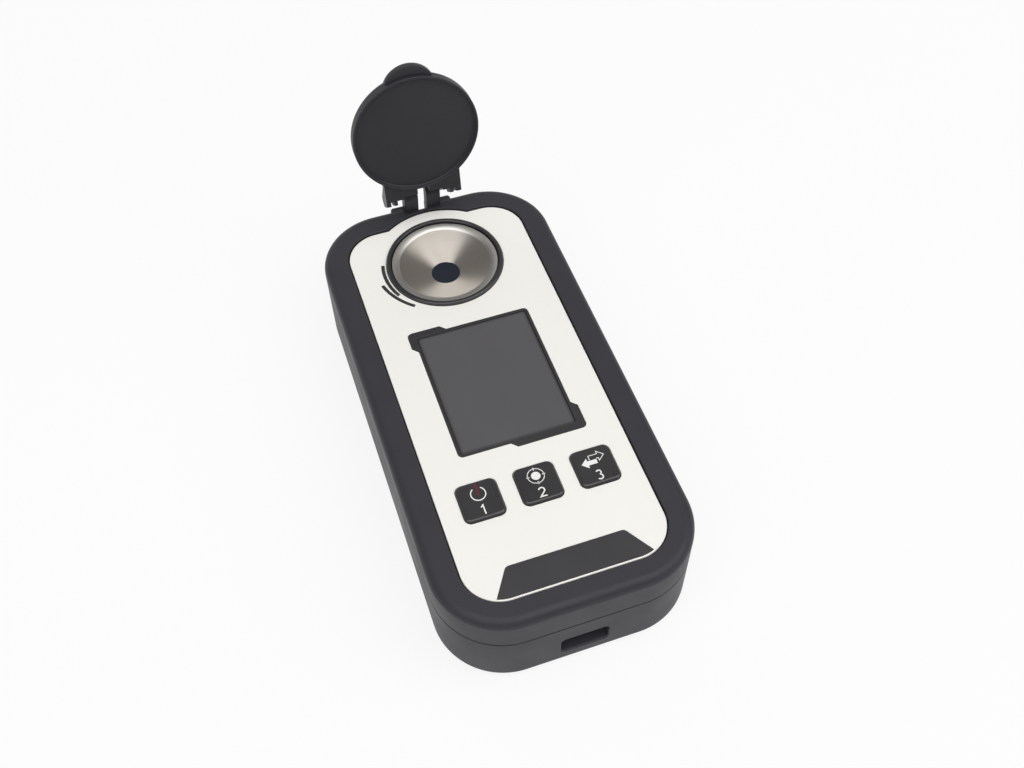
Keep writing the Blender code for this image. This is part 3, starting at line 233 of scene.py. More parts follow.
SIDES = (-1, 1)


def arc(cx, cy, radius, start, end, steps=20):
    """Points along an arc, its ends included, with the angles in degrees."""
    turns = [math.radians(start + (end - start) * i / steps) for i in range(steps + 1)]
    return [(cx + radius * math.cos(a), cy + radius * math.sin(a)) for a in turns]


def rounded(left, right, front, rear, corner, steps=20):
    """A rectangle with round corners."""
    return (arc(right - corner, front + corner, corner, -90, 0, steps)
            + arc(right - corner, rear - corner, corner, 0, 90, steps)
            + arc(left + corner, rear - corner, corner, 90, 180, steps)
            + arc(left + corner, front + corner, corner, 180, 270, steps))


def case_outline(grow=0.0):
    """The case in plan, let out by a given amount."""
    half, end = CASE_HALF + grow, CASE_END + grow
    return rounded(-half, half, -end, end, CASE_CORNER + grow)


def face_outline(grow=0.0):
    """The white face in plan: a rounded rectangle whose rear edge bulges round the dish."""
    half, corner, bulge = FACE_HALF + grow, FACE_CORNER + grow, FACE_BULGE + grow
    front, rear = FACE_FRONT - grow, FACE_REAR + grow
    lean = math.degrees(math.asin((rear - DISH_Y) / bulge))
    return (arc(half - corner, front + corner, corner, -90, 0)
            + arc(half - corner, rear - corner, corner, 0, 90)
            + arc(0, DISH_Y, bulge, lean, 180 - lean, 32)
            + arc(-half + corner, rear - corner, corner, 90, 180)
            + arc(-half + corner, front + corner, corner, 180, 270))


def box_outline(left, right, front, rear, corner, steps=8):
    """The function that draws one rounded rectangle, let out by what it is given."""
    return lambda grow=0.0: rounded(left - grow, right + grow, front - grow, rear + grow,
                                    max(corner + grow, WELD), steps)


def round_outline(x, y, radius, steps=128):
    """The function that draws one circle, let out by what it is given."""
    return lambda grow=0.0: arc(x, y, radius + grow, 0, 360, steps)[:-1]


def linked(name, mesh):
    """A new object for a mesh, in the scene."""
    thing = bpy.data.objects.new(name, mesh)
    bpy.context.scene.collection.objects.link(thing)
    return thing


def formed(name, bm, turn_out=True):
    """A new object for a finished bmesh, with its faces turned outwards if asked."""
    mesh = bpy.data.meshes.new(name)
    if turn_out:
        bmesh.ops.recalc_face_normals(bm, faces=bm.faces)
    bm.to_mesh(mesh)
    bm.free()
    return linked(name, mesh)


def loft(name, rings):
    """A closed body through a stack of (outline, height) rings that share their point count."""
    bm = bmesh.new()
    rows = [[bm.verts.new((x, y, z)) for x, y in outline] for outline, z in rings]
    for low, high in zip(rows, rows[1:]):
        for i, vert in enumerate(low):
            after = (i + 1) % len(low)
            bm.faces.new((vert, low[after], high[after], high[i]))
    bm.faces.new(list(reversed(rows[0])))
    bm.faces.new(rows[-1])
    bmesh.ops.remove_doubles(bm, verts=bm.verts, dist=WELD)
    return formed(name, bm)


def ease(radius, steps):
    """The (inset, drop) pairs of a rounded edge, from the side up to the top."""
    leans = [math.radians(90 * i / steps) for i in range(steps + 1)]
    return [(radius * (1 - math.cos(a)), radius * (1 - math.sin(a))) for a in leans]


def eased(name, outline, low, high, top=EDGE_BREAK, bottom=EDGE_BREAK, steps=4):
    """A body of one outline with rounded edges at its top and bottom."""
    rings = [(outline(-inset), low + drop) for inset, drop in reversed(ease(bottom, steps))]
    rings += [(outline(-inset), high - drop) for inset, drop in ease(top, steps)]
    return loft(name, rings)


def opening(name, outline, low, high, edge=EDGE_BREAK, steps=4):
    """The cutter of an opening whose upper edge is rounded."""
    rings = [(outline(0.0), low)]
    rings += [(outline(inset), high - drop) for inset, drop in ease(edge, steps)]
    return loft(name, rings + [(outline(edge), high + CASE_WALL)])


def straight(name, outline, low, high):
    """An outline given its thickness between two heights."""
    return loft(name, [(outline, low), (outline, high)])


def sideways(thing):
    """Turns a body drawn as (y, z), with its thickness along x, into place."""
    thing.data.transform(Matrix(((0, 0, 1, 0), (1, 0, 0, 0), (0, 1, 0, 0), (0, 0, 0, 1))))
    return thing


def cylinder(name, radius, start, end, steps=48):
    """A round bar between two points."""
    start, end = Vector(start), Vector(end)
    along = end - start
    turn = along.to_track_quat("Z", "Y").to_matrix().to_4x4()
    bm = bmesh.new()
    bmesh.ops.create_cone(bm, cap_ends=True, segments=steps, radius1=radius, radius2=radius,
                          depth=along.length, matrix=Matrix.Translation((start + end) / 2) @ turn)
    return formed(name, bm, turn_out=False)


def upright(name, radius, x, y, low, high, steps=48):
    """A round bar that stands up between two heights."""
    return cylinder(name, radius, (x, y, low), (x, y, high), steps)


def shape(thing, operation, others):
    """Cuts or joins other bodies, which are used up."""
    for other in others:
        change = thing.modifiers.new(other.name, "BOOLEAN")
        change.operation = operation
        change.solver = "EXACT"
        change.object = other
    view = bpy.context.evaluated_depsgraph_get()
    mesh = bpy.data.meshes.new_from_object(thing.evaluated_get(view))
    thing.modifiers.clear()
    thing.data = mesh
    for other in others:
        bpy.data.objects.remove(other)
    return thing


def cut(thing, *others):
    """Takes bodies away from a piece."""
    return shape(thing, "DIFFERENCE", others)


def join(thing, *others):
    """Adds bodies to a piece."""
    return shape(thing, "UNION", others)


def mount(thing, body, slot, material, *nodes):
    """Shades a finished piece, gives it its material and hangs it on its CAD body."""
    thing.data.materials.clear()
    thing.data.materials.append(material)
    thing.data.shade_smooth()
    thing.data.set_sharp_from_angle(angle=math.radians(SHARP_ANGLE))
    even = thing.modifiers.new("even_shading", "WEIGHTED_NORMAL")
    even.keep_sharp = True
    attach(thing, body)
    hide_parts(*nodes)


def finish(name, dark, light, roughness, grain, relief, spread=0.05, blotch=0.012, **constants):
    """A finish that drifts between two tones, with a fine grain; grain, relief and blotch in metres.

    Further inputs of the shader are given by their names, with _ for each space.
    """
    material = bpy.data.materials.new(name)
    nodes, links = tree_of(material)
    shader = nodes["Principled BSDF"]
    for word, value in constants.items():
        shader.inputs[word.replace("_", " ")].default_value = value
    place = nodes.new("ShaderNodeTexCoord")
    drift = nodes.new("ShaderNodeTexNoise")
    drift.inputs["Scale"].default_value = 1 / blotch
    drift.inputs["Detail"].default_value = 3
    tone = nodes.new("ShaderNodeMix")
    tone.name = "tone"
    tone.data_type = "RGBA"
    tone.inputs["A"].default_value = (*dark, 1)
    tone.inputs["B"].default_value = (*light, 1)
    grains = nodes.new("ShaderNodeTexNoise")
    grains.name = "grains"
    grains.inputs["Scale"].default_value = 1 / grain
    grains.inputs["Detail"].default_value = 2
    wear = nodes.new("ShaderNodeMapRange")
    wear.inputs["From Min"].default_value = 0.3
    wear.inputs["From Max"].default_value = 0.7
    wear.inputs["To Min"].default_value = roughness - spread
    wear.inputs["To Max"].default_value = roughness + spread
    bump = nodes.new("ShaderNodeBump")
    bump.inputs["Strength"].default_value = 1.0
    bump.inputs["Distance"].default_value = relief
    links.new(place.outputs["Object"], drift.inputs["Vector"])
    links.new(place.outputs["Object"], grains.inputs["Vector"])
    links.new(drift.outputs["Fac"], tone.inputs["Factor"])
    links.new(tone.outputs["Result"], shader.inputs["Base Color"])
    links.new(drift.outputs["Fac"], wear.inputs["Value"])
    links.new(wear.outputs["Result"], shader.inputs["Roughness"])
    links.new(grains.outputs["Fac"], bump.inputs["Height"])
    links.new(bump.outputs["Normal"], shader.inputs["Normal"])
    return material


def lug_outline(shrink):
    """A hinge lug from the side, from the shelf up round the pin, drawn in towards the pin."""
    foot = SHELF_TOP - HINGE_Z
    profile = [(LUG_FRONT, foot), (LUG_BACK, foot)] + arc(0, 0, LUG_EYE, -10, 190, 24)
    scale = 1 - shrink / LUG_EYE
    return [(HINGE_Y + y * scale, HINGE_Z + z * scale) for y, z in profile]


case_plastic = finish("charcoal_abs", (0.029, 0.028, 0.035), (0.034, 0.033, 0.041), roughness=0.50,
                      grain=0.00022, relief=0.000012, Specular_IOR_Level=0.34)
shell = eased("upper_shell", case_outline, PARTING + GAP / 2, CASE_TOP, top=TOP_FILLET, steps=8)
boss_outline = box_outline(-BOSS_HALF, BOSS_HALF, CASE_END - CASE_WALL, CASE_END + BOSS_REACH, BOSS_REACH)
join(shell, straight("tongue", case_outline(-TONGUE_INSET), PARTING - TONGUE_DEPTH, PARTING + CASE_WALL),
     eased("hinge_boss", boss_outline, BOSS_LOW, BOSS_TOP, top=BOSS_EDGE, steps=6))
for sign in SIDES:
    near, far = sorted((sign * LUG_INNER, sign * LUG_OUTER))
    slices = [(lug_outline(inset), near + drop) for inset, drop in reversed(ease(EDGE_BREAK, 3))]
    slices += [(lug_outline(inset), far - drop) for inset, drop in ease(EDGE_BREAK, 3)]
    join(shell, sideways(loft("lug", slices)))
lug_gap = box_outline(-LUG_INNER, LUG_INNER, CASE_END - NOTCH_DEPTH, CASE_END + 2 * OVERRUN, 0)
cut(shell, straight("hollow", case_outline(-CASE_WALL), PARTING - 3 * OVERRUN, SHELF_UNDER),
    opening("face_pocket", lambda grow=0.0: face_outline(GAP + grow), SHELF_TOP, CASE_TOP, edge=0.00025),
    straight("lug_gap", lug_gap(), SHELF_UNDER, CASE_TOP + GAP))
key_places = (-KEY_PITCH, 0, KEY_PITCH)
cut(shell,
    straight("screen_hole", rounded(*SHELF_WINDOW), SHELF_UNDER - GAP, CASE_TOP),
    upright("dish_hole", DISH_HOLE, 0, DISH_Y, SHELF_UNDER - GAP, CASE_TOP),
    *[straight("key_hole", rounded(x - KEY_HOLE_HALF, x + KEY_HOLE_HALF, KEY_Y - KEY_HOLE_END,
                                   KEY_Y + KEY_HOLE_END, KEY_HOLE_CORNER), SHELF_UNDER - GAP, CASE_TOP)
      for x in key_places],
    *[cylinder("pin_bore", PIN_BORE, (sign * PIN_BORE_INNER, HINGE_Y, HINGE_Z),
               (sign * PIN_BORE_OUTER, HINGE_Y, HINGE_Z), 24) for sign in SIDES])
mount(shell, "housing", "case_plastic", case_plastic, "upper_case")

# Lower case. The same moulding, with rounder bottom edges; it has the strap slot through its front
# wall, a recess for the battery door, and four wells for the screws that close the case.
BOTTOM_FILLET = 0.0026
FLOOR = 0.0020
STEP_INSET = 0.0011
STEP_DEPTH = 0.00225
SCREW_PLACES = [(x, y) for x in (-0.0205, 0.0205) for y in (-0.0465, 0.0465)]
SCREW_POST = 0.0032
SCREW_WELL = 0.0025
SCREW_SEAT = 0.0027
SCREW_HOLE = 0.0013
SCREW_HOLE_TOP = 0.02
SLOT_HALF = 0.00535
SLOT_LOW = 0.0049
SLOT_HIGH = 0.0104
SLOT_INNER = -0.0572
SLOT_REAR = -0.0522
SLOT_CORNER = 0.0012
SLOT_WALL = 0.0018
DOOR_HALF = 0.0095
DOOR_CORNER = 0.0020
DOOR_LIP = 0.0013
DOOR_RECESS_TOP = 0.0028
BAY_HALF = 0.0060
BAY_WALL = 0.0014
BAY_TOP = 0.0124
BAY_FRONT_INSET = 0.0018
BAY_REAR_INSET = 0.0092
CELL_TOP = 0.0140
door_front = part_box("battery_door")[0].y + DOOR_LIP
door_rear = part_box("battery_door")[1].y
bay_front = door_front + BAY_FRONT_INSET
bay_rear = door_rear - BAY_REAR_INSET
tub = eased("lower_shell", case_outline, 0, PARTING - GAP / 2, bottom=BOTTOM_FILLET, steps=8)
cut(tub, straight("hollow", case_outline(-CASE_WALL), FLOOR, PARTING + OVERRUN),
    straight("seal_step", case_outline(-STEP_INSET), PARTING - STEP_DEPTH, PARTING + OVERRUN))
join(tub,
     straight("slot_walls",
              rounded(-SLOT_HALF - SLOT_WALL, SLOT_HALF + SLOT_WALL, -CASE_END + CASE_WALL / 2,
                      SLOT_REAR + SLOT_WALL, SLOT_WALL / 2), FLOOR / 2, SLOT_HIGH + SLOT_WALL),
     straight("bay_walls",
              rounded(-BAY_HALF - BAY_WALL, BAY_HALF + BAY_WALL, bay_front - BAY_WALL,
                      bay_rear + BAY_WALL, BAY_WALL), FLOOR / 2, BAY_TOP),
     *[upright("screw_post", SCREW_POST, x, y, FLOOR / 2, PARTING - GAP / 2) for x, y in SCREW_PLACES])
slot_mouth = opening("slot_mouth", box_outline(-SLOT_HALF, SLOT_HALF, SLOT_LOW, SLOT_HIGH, SLOT_CORNER),
                     -SLOT_REAR, CASE_END, edge=0.0004)
slot_mouth.data.transform(Matrix(((-1, 0, 0, 0), (0, 0, -1, 0), (0, 1, 0, 0), (0, 0, 0, 1))))
slot_mouth.data.flip_normals()
cut(tub, slot_mouth,
    straight("slot_drop", rounded(-SLOT_HALF, SLOT_HALF, SLOT_INNER, SLOT_REAR, SLOT_CORNER),
             -OVERRUN, SLOT_HIGH - SLOT_CORNER),
    straight("cell_bay", rounded(-BAY_HALF, BAY_HALF, bay_front, bay_rear, BAY_WALL / 2), -OVERRUN, CELL_TOP),
    straight("door_recess", rounded(-DOOR_HALF - GAP, DOOR_HALF + GAP, door_front - GAP, door_rear + GAP,
                                    DOOR_CORNER + GAP), -OVERRUN, DOOR_RECESS_TOP),
    *[upright("screw_well", SCREW_WELL, x, y, -OVERRUN, SCREW_SEAT) for x, y in SCREW_PLACES],
    *[upright("screw_hole", SCREW_HOLE, x, y, 0, SCREW_HOLE_TOP, 24) for x, y in SCREW_PLACES])
mount(tub, "housing", "case_plastic", case_plastic, "lower_case")

# Battery door. A flat moulded cover, flush with the underside and held by one screw; a few shallow
# grooves moulded across it near the screw give a thumb some grip.
DOOR_THICKNESS = 0.0016
DOOR_PAD = 0.0033
DOOR_PAD_TOP = 0.0025
DOOR_SEAT = 0.0020
DOOR_HOLE_TOP = 0.004
DOOR_SCREW_INSET = 0.0038
DOOR_LIP_HALF = 0.0045
DOOR_LIP_CORNER = 0.0003
DOOR_LIP_LOW, DOOR_LIP_HIGH = 0.0009, 0.0015
GROOVE_HALF = 0.0060
GROOVE_PITCH = 0.0013
GROOVE_INSET = 0.0100
GROOVE_CORNER = 0.00029
door_screw_y = door_rear - DOOR_SCREW_INSET
groove_places = [door_rear - GROOVE_INSET - GROOVE_PITCH * i for i in range(5)]
door = eased("door_cover", box_outline(-DOOR_HALF, DOOR_HALF, door_front, door_rear, DOOR_CORNER),
             0, DOOR_THICKNESS, top=0.00005)
join(door, upright("screw_pad", DOOR_PAD, 0, door_screw_y, DOOR_THICKNESS / 2, DOOR_PAD_TOP),
     straight("front_lip", rounded(-DOOR_LIP_HALF, DOOR_LIP_HALF, door_front - DOOR_LIP,
                                   door_front + DOOR_LIP, DOOR_LIP_CORNER), DOOR_LIP_LOW, DOOR_LIP_HIGH))
cut(door, upright("head_well", SCREW_WELL, 0, door_screw_y, -OVERRUN, DOOR_SEAT),
    upright("screw_hole", SCREW_HOLE, 0, door_screw_y, 0, DOOR_HOLE_TOP, 24),
    *[straight("grip_groove", rounded(-GROOVE_HALF, GROOVE_HALF, y - GAP, y + GAP, GROOVE_CORNER, 5),
               -OVERRUN, GAP) for y in groove_places])
mount(door, "housing", "case_plastic", case_plastic, "battery_door")

# Case and door screws. Cold-headed steel pan heads with a cross recess, zinc plated; they are sunk
# in their wells and driven up from the underside.
HEAD_RADIUS = 0.0022
HEAD_HEIGHT = 0.0014
HEAD_CROWN = 0.0006
SHANK_RADIUS = 0.0010
TIP_RADIUS = 0.0009
CROSS_LONG = 0.0013
CROSS_THIN = 0.00026
CROSS_DEPTH = 0.0008


def lathe(name, profile, steps=128):
    """A (radius, height) profile turned about Z; it starts and ends on the axis, or closes on itself."""
    bm = bmesh.new()
    rows = []
    for radius, height in profile:
        count = 1 if radius < WELD else steps
        turns = [2 * math.pi * i / steps for i in range(count)]
        rows.append([bm.verts.new((radius * math.cos(a), radius * math.sin(a), height)) for a in turns])
    pairs = list(zip(rows, rows[1:]))
    if len(rows[0]) > 1:
        pairs.append((rows[-1], rows[0]))
    for low, high in pairs:
        for i in range(steps):
            after = (i + 1) % steps
            corners = [low[i % len(low)], low[after % len(low)],
                       high[after % len(high)], high[i % len(high)]]
            corners = list(dict.fromkeys(corners))
            if len(corners) > 2:
                bm.faces.new(corners)
    return formed(name, bm)


screw_steel = finish("zinc_plated_steel", (0.42, 0.42, 0.43), (0.56, 0.56, 0.55), roughness=0.30,
                     grain=0.00008, relief=0.000004, Metallic=1.0)
for node in [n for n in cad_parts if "case_screw" in n or n == "door_screw"]:
    low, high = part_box(node)
    seat = low.z + HEAD_HEIGHT
    profile = [(0, high.z), (TIP_RADIUS, high.z), (SHANK_RADIUS, high.z - EDGE_BREAK),
               (SHANK_RADIUS, seat), (HEAD_RADIUS, seat)]
    profile += [(HEAD_RADIUS - inset, low.z + drop) for inset, drop in ease(HEAD_CROWN, 5)]
    pan = lathe(node.replace("screw", "pan_screw"), profile + [(0, low.z)], 40)
    cut(pan, *[straight("cross", rounded(-a, a, -b, b, EDGE_BREAK, 4), low.z - OVERRUN, low.z + CROSS_DEPTH)
               for a, b in ((CROSS_LONG, CROSS_THIN), (CROSS_THIN, CROSS_LONG))])
    pan.location = ((low.x + high.x) / 2, (low.y + high.y) / 2, 0)
    mount(pan, "housing", "screw_steel", screw_steel, node)

# White face. A one-millimetre plate, coated warm white, dropped into the pocket of the upper case;
# its holes and the pockets for the dark inlays are moulded with slightly broken edges.
HAIR = 0.00004
SCREEN_LEFT, SCREEN_RIGHT, SCREEN_FRONT, SCREEN_REAR = -0.0141, 0.0141, -0.0185, 0.0175
SCREEN_CORNER = 0.0012
BRACKET_STEP = 0.0013
BRACKET_TOP = 0.0080
BRACKET_SIDE = 0.0048
BRACKET_FOOT = 0.0164
BRACKET_RISE = 0.0062
PANEL_REAR = -0.0467
PANEL_REAR_HALF = 0.0136
PANEL_HALF = 0.0171
PANEL_CORNER = 0.0012
PANEL_TURN = 0.0081
MARK_HALF_WIDTH = 0.0004
INLAY_POCKET = 0.0005
KEY_HALF = 0.00455
KEY_END = 0.0047
KEY_CORNER = 0.0015
RING_OUTER = 0.0145
RING_SLACK = 0.0001


def surround_outline(grow=0.0):
    """The black screen surround in plan: a rectangle with a bracket at two opposite corners."""
    left, right = SCREEN_LEFT - grow, SCREEN_RIGHT + grow
    front, rear = SCREEN_FRONT - grow, SCREEN_REAR + grow
    r, step = SCREEN_CORNER, BRACKET_STEP
    top_x, side_y = left + BRACKET_TOP, rear - BRACKET_SIDE
    foot_x, foot_y = right - BRACKET_FOOT, front + BRACKET_RISE
    return ([(foot_x, front), (foot_x + step, front - step)]
            + arc(right + step - r, front - step + r, r, -90, 0, 8)
            + [(right + step, foot_y - step), (right, foot_y)]
            + arc(right - r, rear - r, r, 0, 90, 8)
            + [(top_x, rear), (top_x - step, rear + step)]
            + arc(left - step + r, rear + step - r, r, 90, 180, 8)
            + [(left - step, side_y + step), (left, side_y)]
            + arc(left + r, front + r, r, 180, 270, 8))


def panel_outline(grow=0.0):
    """The dark front panel in plan: a trapezoid whose front follows the face's round corners."""
    turn_x, turn_y = FACE_HALF - FACE_CORNER, FACE_FRONT + FACE_CORNER
    reach = PANEL_TURN + grow
    turn_end = -math.degrees(math.acos((PANEL_HALF - turn_x + grow) / reach))
    r = PANEL_CORNER
    right = (arc(turn_x, turn_y, reach, -90, turn_end, 8)
             + arc(PANEL_REAR_HALF + grow - r, PANEL_REAR + grow - r, r, 30, 90, 8))
    return right + [(-x, y) for x, y in reversed(right)]


def mark_outline(x, y, radius, start, end):
    """The function that draws one curved mark, let out by what it is given."""
    def outline(grow=0.0):
        run = math.degrees(grow / radius)
        return (arc(x, y, radius + MARK_HALF_WIDTH + grow, start - run, end + run)
                + arc(x, y, radius - MARK_HALF_WIDTH - grow, end + run, start - run))
    return outline


INLAYS = {"front_panel": panel_outline,
          "inner_mark": mark_outline(0, DISH_Y, radius=0.0154, start=166, end=207),
          "outer_mark": mark_outline(-0.0006, DISH_Y + 0.0014, radius=0.0166, start=194, end=231)}
KEY_BOXES = {name: box_outline(x - KEY_HALF, x + KEY_HALF, KEY_Y - KEY_END, KEY_Y + KEY_END, KEY_CORNER)
             for name, x in zip(("power", "zero", "mode"), key_places)}
white_face = finish("white_coated_plate", (0.86, 0.85, 0.82), (0.89, 0.88, 0.85), roughness=0.34,
                    grain=0.0005, relief=0.000002, blotch=0.03)
plate = eased("white_plate", face_outline, FACE_UNDER, FACE_TOP, top=0.00015)
hole_low = FACE_UNDER - GAP
cut(plate,
    opening("screen_hole", lambda grow=0.0: surround_outline(HAIR + grow), hole_low, FACE_TOP, edge=0.00008),
    opening("ring_hole", round_outline(0, DISH_Y, RING_OUTER + RING_SLACK), hole_low, FACE_TOP, edge=0.00012),
    *[opening("key_hole", lambda grow=0.0, draw=draw: draw(GAP / 2 + grow), hole_low, FACE_TOP, edge=0.00012)
      for draw in KEY_BOXES.values()],
    *[straight("inlay_pocket", draw(HAIR), FACE_TOP - INLAY_POCKET, FACE_TOP + CASE_WALL)
      for draw in INLAYS.values()])
mount(plate, "housing", "white_face", white_face, "faceplate")

# Dark front panel and the two curved marks beside the dish. Thin black moulded inlays pressed into
# pockets of the white face, flush with it.
INLAY_THICKNESS = 0.00038
inlay_black = finish("black_inlay", (0.028, 0.027, 0.031), (0.036, 0.035, 0.039), roughness=0.38,
                     grain=0.0003, relief=0.000004)
for node, draw in INLAYS.items():
    inlay = eased(node.replace("_", "_inlay_"), draw, FACE_TOP - INLAY_THICKNESS, FACE_TOP,
                  top=0.00005, bottom=0.00005)
    mount(inlay, "housing", "black_inlay", inlay_black, node)

# Screen. A black moulded surround with a raised bracket outline at two corners frames a polished window; the
# unlit grey display shows right behind it, with shade painted darker towards its edges where the surround
# would shadow it.
WINDOW_HALF = 0.0134
WINDOW_FRONT = -0.0178
WINDOW_REAR = 0.0168
WINDOW_CORNER = 0.0006
WINDOW_SLACK = 0.00006
WINDOW_TOP = 0.0244
# Painted shade: how dark the display's edges are painted, and the width of that band
PAINTED_EDGE_SHADE = 0.40
PAINTED_SHADE_WIDTH = 0.0009
frame_black = finish("black_screen_frame", (0.022, 0.022, 0.024), (0.026, 0.026, 0.029), roughness=0.45,
                     grain=0.0003, relief=0.000004)
surround = eased("screen_frame", surround_outline, FACE_UNDER, FACE_TOP, top=0.0001)
cut(surround, opening("window_hole",
                      box_outline(-WINDOW_HALF, WINDOW_HALF, WINDOW_FRONT, WINDOW_REAR, WINDOW_CORNER),
                      hole_low, FACE_TOP, edge=0.00015))
mount(surround, "housing", "black_inlay", frame_black, "screen_surround")
pane = eased("screen_pane",
             box_outline(-WINDOW_HALF + WINDOW_SLACK, WINDOW_HALF - WINDOW_SLACK,
                         WINDOW_FRONT + WINDOW_SLACK, WINDOW_REAR - WINDOW_SLACK, WINDOW_CORNER),
             FACE_UNDER, WINDOW_TOP, top=0.00006)


def screen_look():
    """The grey display seen through its window, with shade painted darker along its edges where the surround
    would shadow it, under a clear gloss.
    """
    material = finish("unlit_display_window", (0.078, 0.076, 0.085), (0.088, 0.086, 0.094), roughness=0.30,
                      grain=0.0006, relief=0.0000005, spread=0.02, Coat_Weight=0.4, Coat_Roughness=0.12)
    nodes, links = tree_of(material)
    place = nodes.new("ShaderNodeTexCoord")
    apart = nodes.new("ShaderNodeSeparateXYZ")
    links.new(place.outputs["Object"], apart.inputs[0])
    # Painted shade: the display's colour is darkened in a band along each edge, standing in for the
    # surround's shadow on the recessed display
    painted_shade_fades = []
    for axis, middle, half in (("X", 0.0, WINDOW_HALF),
                               ("Y", (WINDOW_FRONT + WINDOW_REAR) / 2, (WINDOW_REAR - WINDOW_FRONT) / 2)):
        away = maths(nodes, links, "SUBTRACT", apart.outputs[axis], middle)
        fade = nodes.new("ShaderNodeMapRange")
        fade.interpolation_type = "SMOOTHSTEP"
        fade.inputs["From Min"].default_value = half - PAINTED_SHADE_WIDTH
        fade.inputs["From Max"].default_value = half
        fade.inputs["To Min"].default_value = 1.0
        fade.inputs["To Max"].default_value = PAINTED_EDGE_SHADE
        links.new(maths(nodes, links, "ABSOLUTE", away), fade.inputs["Value"])
        painted_shade_fades.append(fade.outputs["Result"])
    dim = nodes.new("ShaderNodeVectorMath")
    dim.operation = "SCALE"
    links.new(nodes["tone"].outputs["Result"], dim.inputs[0])
    links.new(maths(nodes, links, "MULTIPLY", *painted_shade_fades), dim.inputs["Scale"])
    links.new(dim.outputs["Vector"], nodes["Principled BSDF"].inputs["Base Color"])
    return material


mount(pane, "housing", "clear_window", screen_look(), "display_window")

# Keys. Three gloss-black moulded caps with rounded edges and a hidden flange that keeps them in;
# each has a plain printed sign: a power sign, a target and a pair of arrows, over a plain number.
KEY_TOP = 0.0252
KEY_UNDER = 0.0203
KEY_EDGE = 0.00055
FLANGE_REACH = 0.0008
FLANGE_HEIGHT = 0.0011
key_black = finish("gloss_black_keys", (0.024, 0.023, 0.026), (0.028, 0.027, 0.030), roughness=0.30,
                   grain=0.0003, relief=0.000003, Coat_Weight=0.4, Coat_Roughness=0.08)
white_ink = finish("white_ink", (0.80, 0.80, 0.80), (0.86, 0.86, 0.85), roughness=0.50, grain=0.0001,
                   relief=0.000001)
red_ink = finish("dark_red_ink", (0.085, 0.010, 0.013), (0.110, 0.014, 0.018), roughness=0.50, grain=0.0001,
                 relief=0.000001)
for node, draw in KEY_BOXES.items():
    cap = eased(node + "_cap", draw, KEY_UNDER, KEY_TOP, top=KEY_EDGE, steps=6)
    join(cap, straight("flange", draw(FLANGE_REACH), KEY_UNDER, KEY_UNDER + FLANGE_HEIGHT))
    mount(cap, node + "_button", "key_plastic", key_black, node + "_key")


def ribbon(points, width, closed=False):
    """The flat faces of a line of one width along some points, with mitred bends."""
    places = [Vector(point) for point in points]
    sides = []
    for i, place in enumerate(places):
        into = place - places[i - 1] if closed or i else places[1] - place
        out = places[(i + 1) % len(places)] - place if closed or i + 1 < len(places) else into
        along = (into.normalized() + out.normalized()).normalized()
        reach = width / 2 / max(along.dot(out.normalized()), 0.35)
        aside = Vector((-along.y, along.x)) * reach
        sides.append((place + aside, place - aside))
    if closed:
        sides.append(sides[0])
    return [(a[0], a[1], b[1], b[0]) for a, b in zip(sides, sides[1:])]


def printed(name, faces, x, ink, body):
    """A thin print on a key's top, drawn in millimetres from the middle of the key."""
    bm = bmesh.new()
    for face in faces:
        corners = [(x + px / 1000, KEY_Y + py / 1000, KEY_TOP - HAIR / 2) for px, py in face]
        bm.faces.new([bm.verts.new(corner) for corner in corners])
    bmesh.ops.recalc_face_normals(bm, faces=bm.faces)
    lift = bmesh.ops.extrude_face_region(bm, geom=list(bm.faces))
    for vert in [item for item in lift["geom"] if isinstance(item, bmesh.types.BMVert)]:
        vert.co.z += HAIR
    mount(formed(name, bm), body, "key_plastic", ink)


# The signs on the keys, in millimetres: widths of their lines first, then their outlines
BAR_LINE = 0.6
NUMBER_LINE = 0.3
SIGN_LINE = 0.25
CROSS_LINE = 0.22
FINE_LINE = 0.17
POWER_RING = arc(0, 1.45, 1.62, 122, 418, 40)
POWER_BAR = [(0, 1.0), (0, 4.05)]
ONE = [(-0.45, -1.95), (0.1, -1.5), (0.1, -3.75)]
TARGET_DOT = arc(0, 1.6, 1.03, 0, 360, 40)[:-1]
TARGET_RING = arc(0, 1.6, 1.84, 0, 360, 48)[:-1]
TARGET_TICKS = ([(1.45, 1.6), (2.15, 1.6)], [(-2.15, 1.6), (-1.45, 1.6)],
                [(0, 3.05), (0, 3.75)], [(0, -0.55), (0, 0.15)])
TWO = arc(0, -2.15, 0.62, 165, -40, 12) + [(-0.66, -3.7), (0.78, -3.7)]
LEFT_ARROW = [(-2.85, 0.8), (-1.35, 2.1), (-1.35, 1.35), (0.75, 1.35), (0.75, 0.25), (-1.35, 0.25),
              (-1.35, -0.5)]
RIGHT_ARROW = [(0.75, 1.5), (1.3, 1.5), (1.3, 0.8), (2.7, 2.0), (1.3, 3.25), (1.3, 2.55), (-0.75, 2.55),
               (-0.75, 1.5)]
THREE = arc(0, -2.03, 0.52, 150, -70, 12) + arc(0, -3.15, 0.60, 70, -150, 12)
printed("power_sign", ribbon(POWER_RING, SIGN_LINE) + ribbon(ONE, NUMBER_LINE), -KEY_PITCH, white_ink,
        "power_button")
printed("power_bar", ribbon(POWER_BAR, BAR_LINE), -KEY_PITCH, red_ink, "power_button")
printed("zero_sign", [TARGET_DOT] + ribbon(TARGET_RING, FINE_LINE, True)
        + [face for tick in TARGET_TICKS for face in ribbon(tick, CROSS_LINE)] + ribbon(TWO, NUMBER_LINE),
        0, white_ink, "zero_button")
printed("mode_sign", [LEFT_ARROW] + ribbon(RIGHT_ARROW, FINE_LINE) + ribbon(THREE, NUMBER_LINE), KEY_PITCH,
        white_ink, "mode_button")

